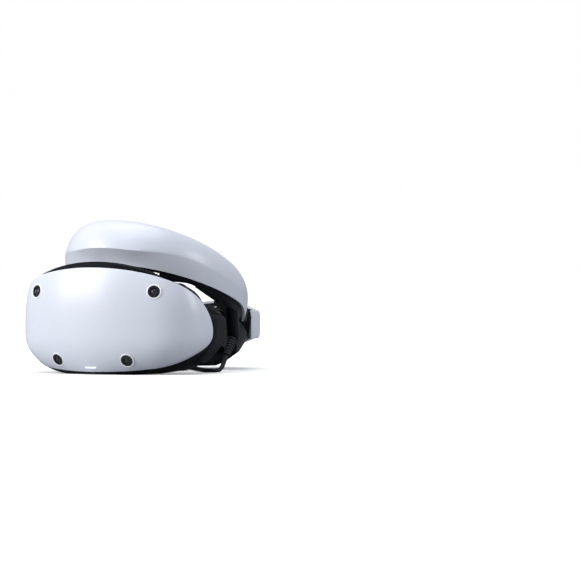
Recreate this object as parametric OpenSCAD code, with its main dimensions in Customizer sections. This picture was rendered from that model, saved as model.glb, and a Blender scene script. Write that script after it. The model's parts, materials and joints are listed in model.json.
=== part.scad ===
// Virtual reality headset. A visor slides fore and aft on two rods under a rigid
// headband, and a rear unit slides in and out of the headband's arms on two straps.
// X runs to the wearer's left, Y runs back from the visor's front, Z is up.
// Modules are drawn with Y measured back from the visor's front; seat() moves them
// so that the origin is at the bottom centre of the headset without its lead.

/* [Overall] */
// Length from the visor's front to the dial's face, band at its shortest
overall_l = 284; // [284:1:290]

/* [Visor] */
// Radius of the visor's front in plan
front_r = 204; // [198:1:210]
// Half width of the shallow front before the corners
front_half = 68; // [67:0.5:69]
// Radius of the visor's corners in plan
corner_r = 51; // [50:0.5:52]
// Height of the cover's widest line
waist_z = 44; // [43:0.5:45]
// Rise of the cover above its widest line
cover_up = 62; // [61:0.5:62.5]
// Drop of the cover below its widest line
cover_down = 41.2; // [40:0.2:41.6]
// Wall of the front cover
cover_wall = 2.4; // [2:0.2:2.6]
// Diameter of each camera window
camera_d = 12; // [11:0.5:12.5]
// Wall of the mid frame
frame_wall = 2.2; // [1.8:0.2:2.4]

/* [Optics] */
// Half of the distance between the eyes at rest
eye_x = 32; // [31.5:0.25:33]
// Height of the eyes
eye_z = 50; // [49:0.5:51]
// Outer radius of a lens barrel
barrel_r = 25.5; // [24.5:0.5:25.5]
// Travel of each lens to either side
lens_travel = 4; // [3:0.5:4]

/* [Headband] */
// Tilt of the headband, rear end down
band_tilt = 19.5; // [19:0.25:20]
// Height of the centre of the headband's ring
band_z = 89; // [89:0.5:91]
// Wall of the white band shell
shell_wall = 2.5; // [2:0.25:2.5]
// Diameter of the visor's slide rods
rod_d = 4; // [3.5:0.25:4]

/* [Rear unit] */
// Radius of the fit dial
dial_r = 20; // [18:0.5:20]
// Radius of the release button
release_r = 7; // [6:0.5:7]

/* [Lead] */
// Diameter of the lead
cable_d = 4.6; // [4.2:0.1:5]

/* [Hidden] */
$fn = 64;
run = 0.3;                                // gap between bodies that move past each other
seam = 0.05;                              // gap between pieces that are fixed together

// ---- helpers ----
function sum3(v, i = 0) = i >= len(v) ? [0, 0, 0] : v[i] + sum3(v, i + 1);
function mean3(r) = sum3(r) / len(r);
function newell(r) = sum3([for (i = [0 : len(r) - 1]) cross(r[i], r[(i + 1) % len(r)])]);

module seat() translate([0, -overall_l / 2, 0]) children();

// End of a loft whose ring is a strip: points k and n - 1 - k face each other.
function strip_end(n, start, flip) = [for (k = [0 : n / 2 - 2])
    let (a = start + k, b = a + 1, d = start + n - 1 - k, c = d - 1)
    each flip ? [[d, b, a], [d, c, b]] : [[a, b, d], [b, c, d]]];

// Solid through a list of rings of points, closed at both ends.
module loft(rings, strip = false) {
    n = len(rings[0]);
    m = len(rings);
    out = newell(rings[0]) * (mean3(rings[1]) - mean3(rings[0])) > 0;
    walls = [for (j = [0 : m - 2]) for (i = [0 : n - 1])
        let (a = j * n + i, b = j * n + (i + 1) % n, c = a + n, d = b + n)
        each out ? [[a, c, b], [b, c, d]] : [[a, b, c], [b, d, c]]];
    first = strip ? strip_end(n, 0, !out) : [[for (i = [0 : n - 1]) out ? i : n - 1 - i]];
    last = strip ? strip_end(n, (m - 1) * n, out)
        : [[for (i = [0 : n - 1]) (m - 1) * n + (out ? n - 1 - i : i)]];
    polyhedron(points = [for (r = rings) each r], faces = concat(first, walls, last));
}

module along_y(d, len) rotate([-90, 0, 0]) cylinder(d = d, h = len);
module along_x(d, len) rotate([0, 90, 0]) cylinder(d = d, h = len);

// ---- visor outline ----
// The cover follows a plan curve: a shallow arc, a corner arc and a short straight.
corner_from = asin(front_half / front_r);
corner_to = 85;
arc_front = front_r * corner_from * PI / 180;
arc_corner = corner_r * (corner_to - corner_from) * PI / 180;
half_arc = 142;                           // length of the plan curve on each side
function plan_angle(s) = s <= arc_front ? s / front_r * 180 / PI
    : min(corner_to, corner_from + (s - arc_front) / corner_r * 180 / PI);
function plan_point(s) =
    let (a = plan_angle(s), f = min(a, corner_from), e = max(0, s - arc_front - arc_corner))
    [front_r * sin(f) + corner_r * (sin(a) - sin(f)) + e * cos(a),
     front_r * (1 - cos(f)) + corner_r * (cos(f) - cos(a)) + e * sin(a)];
function cover_hi(q) = waist_z + cover_up * cos(q);
function cover_lo(q) = waist_z - cover_down * pow(cos(q), 0.7);
function cover_z(q, v) = waist_z + (v > 0 ? v * (cover_hi(q) - waist_z) : v * (waist_z - cover_lo(q)));
edge_up = 6.5;                            // how far the cover's upper edge leans back
edge_down = 8;                            // the same at the middle of the lower edge
edge_down_side = 14;                      // what the lower edge gains towards the sides
function edge_back(q, v) = v > 0 ? edge_up * cos(q)
    : (edge_down + edge_down_side * abs(sin(q))) * (1 - pow(abs(sin(q)), 6));
// Point of the cover: q is -90 to 90 across, v is -1 to 1 up, t is depth under the skin.
function cover_point(q, v, t = 0) =
    let (s = half_arc * abs(sin(q)), p = plan_point(s), a = plan_angle(s),
         r = edge_back(q, v) * pow(abs(v), 3) + t)
    [sign(q) * (p[0] - sin(a) * r), p[1] + cos(a) * r, cover_z(q, v)];
function cover_tilt(q, v) =
    atan(3 * edge_back(q, v) * v * abs(v) / abs(cover_z(q, sign(v)) - waist_z));

// Children are drawn at the skin with -Y pointing out of it.
module on_cover(q, v) {
    translate(cover_point(q, v))
        rotate([0, 0, sign(q) * plan_angle(half_arc * abs(sin(q)))])
            rotate([-cover_tilt(q, v), 0, 0]) children();
}

camera_hi = [29.6, 0.711];                // place of the upper cameras, as q and v
camera_lo = [16.9, -0.739];               // place of the lower cameras
module at_cameras() {
    for (side = [-1, 1]) {
        on_cover(side * camera_hi[0], camera_hi[1]) children();
        on_cover(side * camera_lo[0], camera_lo[1]) children();
    }
}
light_v = -0.898;                         // height of the status light on the cover
light_size = [11.6, 3, 1];

// ---- visor body outline, as upright rings at a depth ----
ring_n = 40;
function power(x, e) = sign(x) * pow(abs(x), e);
function body_ring(d, w, top, low, e, floor_z) = [for (i = [0 : ring_n - 1])
    let (a = 360 * i / ring_n, c = power(cos(a), 2 / e), s = power(sin(a), 2 / e))
    [w * c, d, max(floor_z, eye_z + s * (s > 0 ? top - eye_z : eye_z - low))]];
frame_d = [26, 36];                       // depth of the mid frame's front and waist
rear_d = 62;                              // depth of the rear cover's front face
rear_t = 4;
body_w = [[26, 83.5], [30, 87.5], [36, 90], [44, 92], [52, 94], [62, 95.5], [66, 96]];
body_top = [[26, 104], [34, 103], [44, 98.5], [52, 96], [66, 95]];
sole = -1.5;                              // the outline's lowest line, cut flat at zero
function frame_ring(d, inset) = body_ring(d, lookup(d, body_w) - inset,
    lookup(d, body_top) - inset, sole + inset, 3.2, inset);
module frame_solid(inset, from, to) {
    cuts = [for (d = [from, 30, 34, 40, 46, 54, to]) d];
    loft([for (d = cuts) frame_ring(d, inset)]);
}

rod_x = 22;                               // half spacing of the visor's slide rods
rod_z = 89;
guide_z = 30.5;                           // guide rods above and below the eyes
guide_d = 3;
guide_y = 52;
rib_x = 66;                               // ribs that hold the guide rods' ends
screw_z = 10;                             // visor screws above and below the eyes
dial_x = 69.5;                            // lens dial's shaft
dial_z = 77;
dial_y = 55;
dial_d = 27;                              // lens dial's thumb wheel
dial_w = 6;
shaft_d = 4;
pinion_r = 4;
button_y = 46;
power_x = -14;
function_x = 14;

v_steps = [-1, -0.93, -0.8, -0.6, -0.35, 0, 0.35, 0.6, 0.8, 0.93, 1];
module cover_skin(t) loft([for (q = [-86 : 4.3 : 86.1]) concat(
    [for (v = v_steps) cover_point(q, v)],
    [for (i = [len(v_steps) - 1 : -1 : 0]) cover_point(q, 0.97 * v_steps[i], t)])]);

module front_cover() color("gainsboro") seat() difference() {
    cover_skin(cover_wall);
    at_cameras() translate([0, -5, 0]) along_y(camera_d + 2 * seam, 12);
    on_cover(0, light_v) cube(light_size + 2 * [seam, 4, seam], center = true);
}

module camera_bezels() color("black") seat() at_cameras() difference() {
    translate([0, -0.4, 0]) along_y(camera_d, 5);
    translate([0, -1, 0]) along_y(camera_d - 3.6, 8);
}

module camera_lenses() color("midnightblue") seat() at_cameras() intersection() {
    translate([0, 0.2, 0]) along_y(camera_d - 3.6 - 2 * seam, 3.6);
    translate([0, 10.2, 0]) sphere(r = 10, $fn = 48);
}

module camera_modules() color("dimgray") seat() at_cameras()
    translate([-5.5, 4.7, -5.5]) cube([11, 6, 11]);

module status_light() color("white") seat() on_cover(0, light_v)
    translate([0, 1.3, 0]) cube(light_size, center = true);

module mid_frame() color([0.08, 0.08, 0.1]) seat() difference() {
    union() {
        difference() {
            frame_solid(0, frame_d[0], rear_d - seam);
            frame_solid(frame_wall, frame_d[0] - 1, rear_d + 1);
        }
        intersection() {
            frame_solid(frame_wall - 0.4, frame_d[0], rear_d - seam);
            for (side = [-1, 1]) translate([side * rib_x - 4, guide_y - 4, -1])
                cube([8, rear_d - guide_y + 4, 120]);
        }
    }
    cover_skin(cover_wall + 4 * seam);
    for (z = [-guide_z, guide_z]) translate([-rib_x - 2, guide_y, eye_z + z])
        along_x(guide_d, 2 * rib_x + 4);
    visor_screw_places() translate([0, rear_d - 8, 0]) along_y(2.4, 20);
    translate([power_x, button_y, -1]) cylinder(d = 8 + 2 * run, h = 8);
    translate([function_x, button_y, -1]) cylinder(d = 6 + 2 * run, h = 8);
    translate([dial_x, dial_y - 1, dial_z]) along_y(dial_d + 4 * run, dial_w + 2);
    translate([dial_x, guide_y - 8, dial_z]) along_y(shaft_d + 0.12, 24);
}

module visor_screw_places() for (side = [-1, 1]) for (z = [-screw_z, screw_z])
    translate([side * rib_x, 0, eye_z + z]) children();

vent_span = 85;                           // half length of the grille's crest
vent_rise = 5.5;
function vent_ring(q) =
    let (s = half_arc * abs(sin(q)), p = plan_point(s), a = plan_angle(s), u = pow(s / vent_span, 2),
         top = cover_hi(q) + vent_rise * (1 - u), low = cover_hi(q) - 3.5, back = 24.6 - 11.5 * u,
         prof = [[10.6, low], [10.6, top - 1], [11.6, top], [back - 1.5, top - 0.3], [back, low]])
    [for (k = prof) [sign(q) * (p[0] - sin(a) * k[0]), p[1] + cos(a) * k[0], k[1]]];
module vent_grille() color([0.06, 0.06, 0.08]) seat() difference() {
    loft([for (q = [-35 : 3.5 : 35.1]) vent_ring(q)]);
    for (x = [-36 : 6 : 36]) translate([x - 1.5, 16, 105]) cube([3, 5, 10]);
    translate([-100, frame_d[0] - 2 * seam, 60]) cube([200, 20, 70]);
}

// Black intake strip behind the cover's lower edge.
function lower_ring(q) =
    let (s = half_arc * abs(sin(q)), p = plan_point(s), a = plan_angle(s), z = cover_lo(q),
         near = edge_back(q, -1) + cover_wall + 0.9, far = (frame_d[0] - 0.1 - p[1]) / cos(a),
         prof = [[near, z - 2], [near, z + 1.2], [far, z + 1.2], [far, z - 2.2]])
    [for (k = prof) [sign(q) * (p[0] - sin(a) * k[0]), p[1] + cos(a) * k[0], k[1]]];
module lower_grille() color([0.06, 0.06, 0.08]) seat() loft([for (q = [-23 : 2.3 : 23.1]) lower_ring(q)]);

module main_board() color("darkgreen") seat() translate([-58, 23, 13]) cube([116, 1.6, 44]);

module heat_sink() color("silver") seat() {
    translate([-24, 20.9, 24]) cube([48, 2, 26]);
    for (x = [-23 : 5 : 22]) translate([x, 12, 24]) cube([1.4, 8.9, 26]);
}

fan_z = 77;
fan_y = 18;
module fan_housing() color("dimgray") seat() difference() {
    translate([-15.5, fan_y, fan_z - 15.5]) cube([31, 8, 31]);
    translate([0, fan_y - 1, fan_z]) along_y(28, 7.5);
    translate([0, fan_y - 1, fan_z]) along_y(2.06, 12);
}

module fan_rotor() color("gray") seat() translate([0, fan_y, fan_z]) {
    translate([0, 0.8, 0]) along_y(11, 5);
    translate([0, 5.7, 0]) along_y(2, 2);
    for (k = [0 : 6]) rotate([0, k * 360 / 7, 0]) translate([5, 1.2, -0.6])
        rotate([28, 0, 0]) cube([8, 3.4, 0.9]);
}

module shield_plate() color("silver") seat() translate([-60, 27, 12]) cube([120, 0.8, 48]);

module guide_rods() color("silver") seat()
    for (z = [-guide_z, guide_z]) translate([-rib_x - 2, guide_y, eye_z + z])
        along_x(guide_d, 2 * rib_x + 4);

module rear_cover() color([0.1, 0.1, 0.12]) seat() difference() {
    translate([0, rear_d + rear_t, 0]) rotate([90, 0, 0]) linear_extrude(rear_t)
        polygon([for (p = frame_ring(rear_d + rear_t, 0)) [p[0], p[2]]]);
    for (side = [-1, 1]) translate([side * eye_x, rear_d - 1, eye_z]) {
        for (x = [-lens_travel, lens_travel]) translate([x, 0, 0]) along_y(2 * barrel_r + 1.6, 8);
        translate([-lens_travel, 0, -barrel_r - 0.8]) cube([2 * lens_travel, 8, 2 * barrel_r + 1.6]);
    }
    for (x = [-rod_x, rod_x]) translate([x, rear_d - 1, rod_z]) along_y(rod_d + 2 * run, 8);
    visor_screw_places() translate([0, rear_d - 1, 0]) along_y(2.6, 8);
}

module proximity_sensor() color("black") seat()
    translate([-7, rear_d + rear_t + seam, 71]) cube([14, 1.5, 5]);

shield_to = 112;                          // depth of the light shield's rear edge at the sides
shield_e = 2.5;
shield_w = [[66, 96], [76, 97], [90, 96.5], [112, 93]];
shield_top = [[66, 84], [90, 84], [112, 80]];
function shield_ring(d, inset) = body_ring(d, lookup(d, shield_w) - inset,
    lookup(d, shield_top) - inset, sole + inset, shield_e, inset > 0 ? inset - 0.5 : 0);
module light_shield() color([0.09, 0.09, 0.11]) seat() difference() {
    from = rear_d + rear_t + seam;
    loft([for (d = [from, 76, 90, 102, shield_to]) shield_ring(d, 0)]);
    loft([for (d = [from - 1, 76, 90, 102, shield_to + 1]) shield_ring(d, 3)]);
    translate([0, 190, -1]) cylinder(r = 95, h = 120, $fn = 96);
    translate([0, 82, -4]) along_y(36, 60);
}

module scope_screws() color("silver") seat() visor_screw_places() {
    translate([0, rear_d - 7, 0]) along_y(2.3, 7 + rear_t + seam);
    translate([0, rear_d + rear_t + seam, 0]) difference() {
        along_y(4.6, 1.6);
        translate([0, 0.8, 0]) along_y(2, 1);
    }
}

bush_y = 44;
module slide_bushes() color("goldenrod") seat() for (x = [-rod_x, rod_x])
    translate([x, bush_y, rod_z]) difference() {
        union() {
            along_y(rod_d + 2.4, rear_d - bush_y - seam);
            translate([-2, 2, 0]) cube([4, rear_d - bush_y - 2 - seam, 3.5]);
        }
        translate([0, -1, 0]) along_y(rod_d + 0.12, 30);
    }

// ---- lens carriages ----
display_y = 33.7;
barrel_y = 36;
barrel_l = 44;
module at_eye(side) seat() translate([side * eye_x, 0, eye_z]) children();

module display(side) color([0.1, 0.1, 0.25]) at_eye(side)
    translate([-25, display_y, -25]) cube([50, 2.2, 50]);

module barrel(side) color([0.12, 0.12, 0.14]) at_eye(side) difference() {
    union() {
        translate([0, barrel_y, 0]) along_y(2 * barrel_r, barrel_l);
        translate([0, barrel_y, 0]) along_y(2 * barrel_r + 2.6, 2);
        translate([-6, guide_y - 3.5, -guide_z - 3.5]) cube([12, 7, 12]);
        translate([-6, guide_y - 3.5, guide_z - 8.5]) cube([12, 7, 12]);
    }
    translate([0, barrel_y - 1, 0]) along_y(2 * barrel_r - 3.8, barrel_l + 2);
    for (z = [-guide_z, guide_z]) translate([-8, guide_y, z]) along_x(guide_d + 0.1, 16);
}

lens_bulge = 70;                          // radius of the rear face of a lens
function lens_back(r) = 8.5 - r * r / (2 * lens_bulge);
module eye_lens(side) color("lightcyan") at_eye(side) translate([0, 70, 0]) rotate([-90, 0, 0])
    rotate_extrude() polygon(concat([[0, 0]], [[barrel_r - 2, 0]],
        [for (k = [6 : -1 : 0]) let (r = (barrel_r - 2) * k / 6) [r, lens_back(r)]]));

module ir_ring(side) color("black") at_eye(side) difference() {
    translate([0, barrel_y + barrel_l + seam, 0]) along_y(2 * barrel_r, 1.6);
    translate([0, barrel_y + barrel_l - 1, 0]) along_y(2 * barrel_r - 4.4, 4);
}

rack_y = 29;
rack_t = 3.6;
rack_h = 1.8;
rack_reach = 3.2;                         // how far each rack passes the pinion's axis
// The left lens hangs on the rack above the pinion, the right one on the rack below.
module rack(side) color("silver") seat() {
    z = dial_z + side * (pinion_r + run) - (side > 0 ? 0 : rack_h);
    from = side * eye_x - 4;
    foot_z = eye_z + 10;
    translate([from, rack_y, z]) cube([dial_x + rack_reach - from, rack_t, rack_h]);
    if (side > 0) {
        translate([from, rack_y + rack_t, z]) cube([8, guide_y - 3.5 - rack_y - rack_t, 1.6]);
    } else {
        translate([from, rack_y, foot_z]) cube([8, rack_t, z + rack_h - foot_z]);
        translate([from, rack_y + rack_t, foot_z]) cube([8, display_y - rack_y - rack_t, 6]);
    }
}

module lens_dial() color([0.15, 0.15, 0.17]) seat() translate([dial_x, 0, dial_z]) {
    difference() {
        translate([0, dial_y, 0]) along_y(dial_d, dial_w);
        for (k = [0 : 35]) rotate([0, k * 10, 0]) translate([dial_d / 2 - 0.3, dial_y - 1, -0.4])
            cube([1, dial_w + 2, 0.8]);
    }
    translate([0, rack_y, 0]) along_y(shaft_d, dial_y - rack_y + dial_w + 0.5);
    translate([0, rack_y, 0]) along_y(2 * pinion_r, rack_t);
}

button_h = 5;
module press_button(x, d) color("dimgray") seat() translate([x, button_y, 0.4]) {
    cylinder(d = d, h = button_h);
    translate([0, 0, button_h - 1.6]) cylinder(d = d + 3, h = 1.6);
}

// ---- headband ring ----
// The band follows an ellipse in a tilted plane; th is 0 at the front, 180 at the rear.
ring_y = 138;
ring_x_r = 88;
ring_front_r = 121;
ring_rear_r = 107;
band_end = 130;
module in_ring() seat() translate([0, ring_y, band_z]) rotate([-band_tilt, 0, 0]) children();
function band_point(th, inset, h) =
    let (b = cos(th) > 0 ? ring_front_r : ring_rear_r, nx = sin(th) / ring_x_r, ny = -cos(th) / b,
         l = norm([nx, ny]))
    [ring_x_r * sin(th) - inset * nx / l, -b * cos(th) - inset * ny / l, h];
function band_t(th) = abs(th) / band_end;
function band_top(t) = 30.5 - 26 * pow(t, 3.2);
function band_top_in(t) = 2.5 + 13.5 * pow(max(0, 1 - t * t), 1.5);
function band_mid(t) = 5 - 11 * pow(t, 3);
function band_low(t) = -18 + 9.5 * pow(t, 1.5) - 8.5 * pow(max(0, (t - 0.8) / 0.2), 2);
function band_low_in(t) = 1 + 11 * pow(1 - t, 2);
function band_upper(t, q, w) = [band_top_in(t) * (1 - cos(90 * q)) + w,
    band_mid(t) + (band_top(t) - w * q - band_mid(t)) * sin(90 * q)];
function band_lower(t, q, w) = [band_low_in(t) * pow(q, 1.3) + w,
    band_mid(t) + (band_low(t) - band_mid(t)) * q];
function band_section(t) = concat(
    [for (q = [1, 0.7, 0.4, 0.15]) band_upper(t, q, 0)],
    [for (q = [0, 0.3, 0.65, 1]) band_lower(t, q, 0)],
    [for (q = [1, 0.65, 0.3, 0]) band_lower(t, q, shell_wall)],
    [for (q = [0.15, 0.4, 0.7, 1]) band_upper(t, q, shell_wall)]);

module band_shell() color("gainsboro") in_ring()
    loft([for (th = [-band_end : 5 : band_end]) [for (k = band_section(band_t(th)))
        band_point(th, k[0], k[1])]]);

// Flat-sided ring piece between two ellipses of half axes a and b.
function oval_section(th, a, b, low, top) = [[a[0] * sin(th), -a[1] * cos(th), low],
    [a[0] * sin(th), -a[1] * cos(th), top], [b[0] * sin(th), -b[1] * cos(th), top],
    [b[0] * sin(th), -b[1] * cos(th), low]];
module oval_piece(a, b, low, top, from, to, step)
    loft([for (th = [from : step : to + 0.1]) oval_section(th, a, b, low, top)]);

frame_low = -8;
frame_top = 23;
shelf_t = 4;
button_at = [-30, -85.3];                 // visor release button on the forehead frame
motor_at = [-90.3, 8];
module forehead_frame() color([0.1, 0.1, 0.12]) in_ring() difference() {
    union() {
        oval_piece([74, 101], [72, 86], frame_low, frame_top, -36, 36, 6);
        translate([-28, -88, frame_low]) cube([56, 30, shelf_t]);
    }
    translate([button_at[0], button_at[1], 13]) cylinder(d = 9 + 2 * run, h = 20);
    translate([-13, motor_at[0], motor_at[1]]) along_x(8.2, 24);
}

module forehead_pad() color([0.16, 0.16, 0.18]) in_ring()
    oval_piece([71.4, 85.4], [67, 60], frame_low + shelf_t + seam, 25, -60, 60, 6);

bracket_y = [68.5, 11.5];
module slide_bracket() color("dimgray") difference() {
    seat() translate([-28, bracket_y[0], 85]) cube([56, bracket_y[1], 30]);
    in_ring() translate([-40, -120, frame_low - seam]) cube([80, 120, 60]);
    seat() rod_places() along_y(rod_d, 2 * bracket_y[0]);
}

rod_from = 14;                            // depth of the rods' front ends
module rod_places() for (x = [-rod_x, rod_x]) translate([x, rod_from, rod_z]) children();

module slide_rods() color("silver") seat() rod_places()
    along_y(rod_d, bracket_y[0] + bracket_y[1] - rod_from);

liner_low = -22;
liner_from = 43.5;
liner_to = 116;
liner_t = 9;
liner_clear = 58;                         // forward of this angle a liner rises over the visor
liner_lift = 0.2;
function liner_section(th) = let (t = band_t(th), o = band_low_in(t) + shell_wall + 0.5,
        i = o + liner_t, top = band_mid(t) - 3,
        low = liner_low + liner_lift * max(0, liner_clear - th))
    [[o + 1.2, low], [o, low + 2.4], [o, top], [i, top], [i, low + 2.4], [i - 1.2, low]];
jack_th = -96;                            // headphone socket, in the right arm
jack_in = 11.2;
jack_l = 14.5;
module jack_place() in_ring() translate(band_point(jack_th, jack_in, liner_low)) children();
module liner(side) color([0.11, 0.11, 0.13]) difference() {
    in_ring() loft([for (k = [0 : 15]) let (th = liner_from + k * (liner_to - liner_from) / 15)
        [for (c = liner_section(th)) band_point(side * th, c[0], c[1])]]);
    if (side < 0) jack_place() translate([0, 0, -1]) cylinder(d = 7, h = jack_l + 2.4);
}

module jack_socket() color("black") jack_place() difference() {
    cylinder(d = 7 - 2 * seam, h = jack_l + 1.2);
    translate([0, 0, -1]) cylinder(d = 3.6, h = jack_l + 1);
}

strap_x = 60.4;                           // inner face of each strap
strap_t = 2.4;
strap_h = [-13, 14];                      // lower edge and height of a strap
strap_from = -28;                         // ends of each strap along the slide
strap_to = 80;
function ellipse(a, b) = [for (i = [0 : 71]) [a * cos(i * 5), b * sin(i * 5)]];
module sleeve(side) color("dimgray") in_ring() difference() {
    intersection() {
        translate([side > 0 ? 57.6 : -80, 18, strap_h[0] - 2.6]) cube([22.4, 22, strap_h[1] + 5.2]);
        translate([0, 0, -30]) linear_extrude(60) polygon(ellipse(74.2, 92));
    }
    translate([side > 0 ? strap_x - run : -strap_x - strap_t - run, 0, strap_h[0] - run])
        cube([strap_t + 2 * run, 80, strap_h[1] + 2 * run]);
}

module scope_button() color("dimgray") in_ring() translate([button_at[0], button_at[1], 16])
    cylinder(d = 9, h = 10);

module vibration_motor() color("silver") in_ring() translate([-12, motor_at[0], motor_at[1]]) {
    along_x(8, 15);
    along_x(1.4, 16.2);
}

module eccentric_weight() color("gray") in_ring() translate([3.5, motor_at[0], motor_at[1]])
    difference() {
        along_x(6.6, 4.5);
        translate([-1, -4, 0.9]) cube([8, 8, 8]);
        translate([-1, 0, 0]) along_x(1.5, 8);
    }

// ---- lead ----
cable_x = 80;
relief_from = [cable_x, 150, 34];
relief_to = [cable_x, 137, 17];
relief_l = norm(relief_from - relief_to);
relief_tilt = atan2(relief_to[1] - relief_from[1], relief_to[2] - relief_from[2]);
boss_top = [cable_x - 1, 148, 65];
module cable_boss() color([0.1, 0.1, 0.12]) difference() {
    seat() hull() {
        translate(relief_from) rotate([-relief_tilt, 0, 0])
            translate([0, 0, -4]) cylinder(d = 12, h = 4, $fn = 32);
        translate(boss_top) cylinder(d = 13, h = 2, $fn = 32);
        translate(boss_top + [0, 8, 0]) cylinder(d = 9, h = 2, $fn = 32);
    }
    in_ring() translate([0, -40, liner_low - seam]) cube([120, 120, 60]);
}

rib_n = 7;
module strain_relief() color([0.13, 0.13, 0.15]) seat() translate(relief_from)
    rotate([-relief_tilt, 0, 0]) {
        cylinder(d1 = 8.4, d2 = 6.4, h = relief_l);
        for (k = [0 : rib_n - 1]) translate([0, 0, 1 + k * relief_l / rib_n])
            cylinder(d = 9.8 - 0.4 * k, h = 1.6);
    }

coil_at = [-18, 150];
coil_r = [14, 42];
coil_h = 19;
// Middle line of the lead from the relief's end to the outside of the coil.
route = [[80, 137, 17], [80, 134, 13], [80, 131, 9], [80, 127.5, 5.2], [79.6, 123, 2.8],
    [77.5, 118.4, 2.4], [72.6, 115.8, 2.4], [67.4, 117, 2.4], [63, 120.6, 2.4],
    [57.6, 127, 2.4], [51.6, 134, 2.4], [45.6, 141, 2.4], [39.6, 148.4, 2.4],
    [33.6, 156, 2.4], [27.4, 164, 2.4], [20.4, 172.2, 2.4]];
function unit(v) = v / norm(v);
function route_dir(i) = unit(route[min(i + 1, len(route) - 1)] - route[max(i - 1, 0)]);
cable_sides = 10;
function tube_ring(i) =
    let (f = route_dir(i), s = unit(cross(f, [0.2, 0.1, 1])), u = cross(s, f))
    [for (k = [0 : cable_sides - 1]) route[i] + cable_d / 2 *
        (cos(k * 360 / cable_sides) * s + sin(k * 360 / cable_sides) * u)];
module usb_cable() color([0.12, 0.12, 0.14]) seat()
    loft([for (i = [0 : len(route) - 1]) tube_ring(i)]);

module cable_coil() color([0.12, 0.12, 0.14]) seat() translate([coil_at[0], coil_at[1], 0])
    rotate_extrude() translate([coil_r[0], 0.1]) square([coil_r[1] - coil_r[0], coil_h]);

tie_w = 8;
module cable_tie() color("black") seat() translate([coil_at[0], coil_at[1], 0]) rotate([0, 0, 200])
    difference() {
        translate([coil_r[0] - 1.9, -tie_w / 2, 0]) cube([coil_r[1] - coil_r[0] + 3.1, tie_w, coil_h + 1.3]);
        translate([coil_r[0] - 0.7, -tie_w, -1])
            cube([coil_r[1] - coil_r[0] + 0.7 + seam, 2 * tie_w, coil_h + 1.15]);
    }

plug_at = [-18, 128, 19.15];              // the plug lies on the coil
module usb_plug() seat() translate(plug_at) rotate([0, 0, 25]) {
    color("black") translate([-14, -5.5, 0]) cube([24, 11, 6.4]);
    color("silver") translate([10, -4.2, 1.9]) difference() {
        cube([7, 8.4, 2.6]);
        translate([1, 0.6, 0.6]) cube([7, 7.2, 1.4]);
    }
}

// ---- rear unit ----
// Upright sections round the back of the head; ph is 0 at the rear.
rear_round = 2 / 2.4;                     // squareness of the rear unit in plan
function round_xy(ph, a, b) = [a * power(sin(ph), rear_round), ring_y + b * power(cos(ph), rear_round)];
cradle_a = [[3, 50], [9, 57], [19, 68], [31, 73], [40, 75], [64, 78]];
cradle_b = [[3, 74], [9, 84], [19, 103], [31, 115], [40, 118], [64, 126]];
function cradle_point(ph, z, t) =
    concat(round_xy(ph, lookup(z, cradle_a) - t, lookup(z, cradle_b) - t), z);
function wing_plane(d) = 66 - 0.354 * (d - 130);   // just under the band's liners
function cradle_low(ph) = lookup(abs(ph), [[0, 3], [30, 4], [55, 12], [70, 24], [80, 34]]);
function cradle_top(ph) = abs(ph) < 52 ? 62
    : min(62, wing_plane(ring_y + 124 * power(cos(ph), rear_round)));
cradle_t = 5;
function cradle_section(ph) = let (lo = cradle_low(ph), hi = cradle_top(ph))
    concat([for (k = [0 : 6]) cradle_point(ph, lo + (hi - lo) * k / 6, 0)],
           [for (k = [6 : -1 : 0]) cradle_point(ph, lo + (hi - lo) * k / 6, cradle_t)]);
cradle_cuts = [-80, -74, -68, -60, -54, -52.2, -51.8, -45, -36, -27, -18, -9];
module cradle() loft([for (ph = concat(cradle_cuts, [0], [for (i = [len(cradle_cuts) - 1 : -1 : 0])
    -cradle_cuts[i]])) cradle_section(ph)]);
module rear_frame() color([0.09, 0.09, 0.11]) seat() difference() {
    union() {
        cradle();
        translate([0, 256, rear_z]) along_y(21, dial_seat - 256 - run);
    }
    translate([0, spring_y[0], rear_z]) along_y(10, 10);
    rear_screw_places() {
        translate([0, 0, -6]) cylinder(d = 3, h = 30);
        translate([0, 0, -6]) cylinder(d = 5.4, h = 6 + screw_head);
    }
}

rear_screw_x = 32;
rear_screw_at = [[246.5, 44], [250.8, 57]];   // depth and height of the rear screws' heads
screw_head = 1.5;
module rear_screw_places() for (side = [-1, 1]) for (p = rear_screw_at)
    translate([side * rear_screw_x, p[0], p[1]]) rotate([-90, 0, 0]) children();

pad_floor = 20;                           // lowest line of the rear pad
pad_gap = 1.7;                            // glue line between the rear pad and its cradle
function rear_pad_section(ph) =
    let (lo = max(pad_floor, cradle_low(ph) + 1), hi = abs(ph) < 50 ? 60 : 32)
    concat([for (k = [0 : 4]) cradle_point(ph, lo + (hi - lo) * k / 4, cradle_t + pad_gap)],
           [for (k = [4 : -1 : 0]) cradle_point(ph, lo + (hi - lo) * k / 4,
               cradle_t + 20 * cos(ph) * (k == 0 || k == 4 ? 0.75 : 1))]);
module rear_pad() color([0.15, 0.15, 0.17]) seat()
    loft([for (ph = [-64, -57, -51, -49, -40, -30, -20, -10, 0, 10, 20, 30, 40, 49, 51, 57, 64])
        rear_pad_section(ph)], true);

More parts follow.
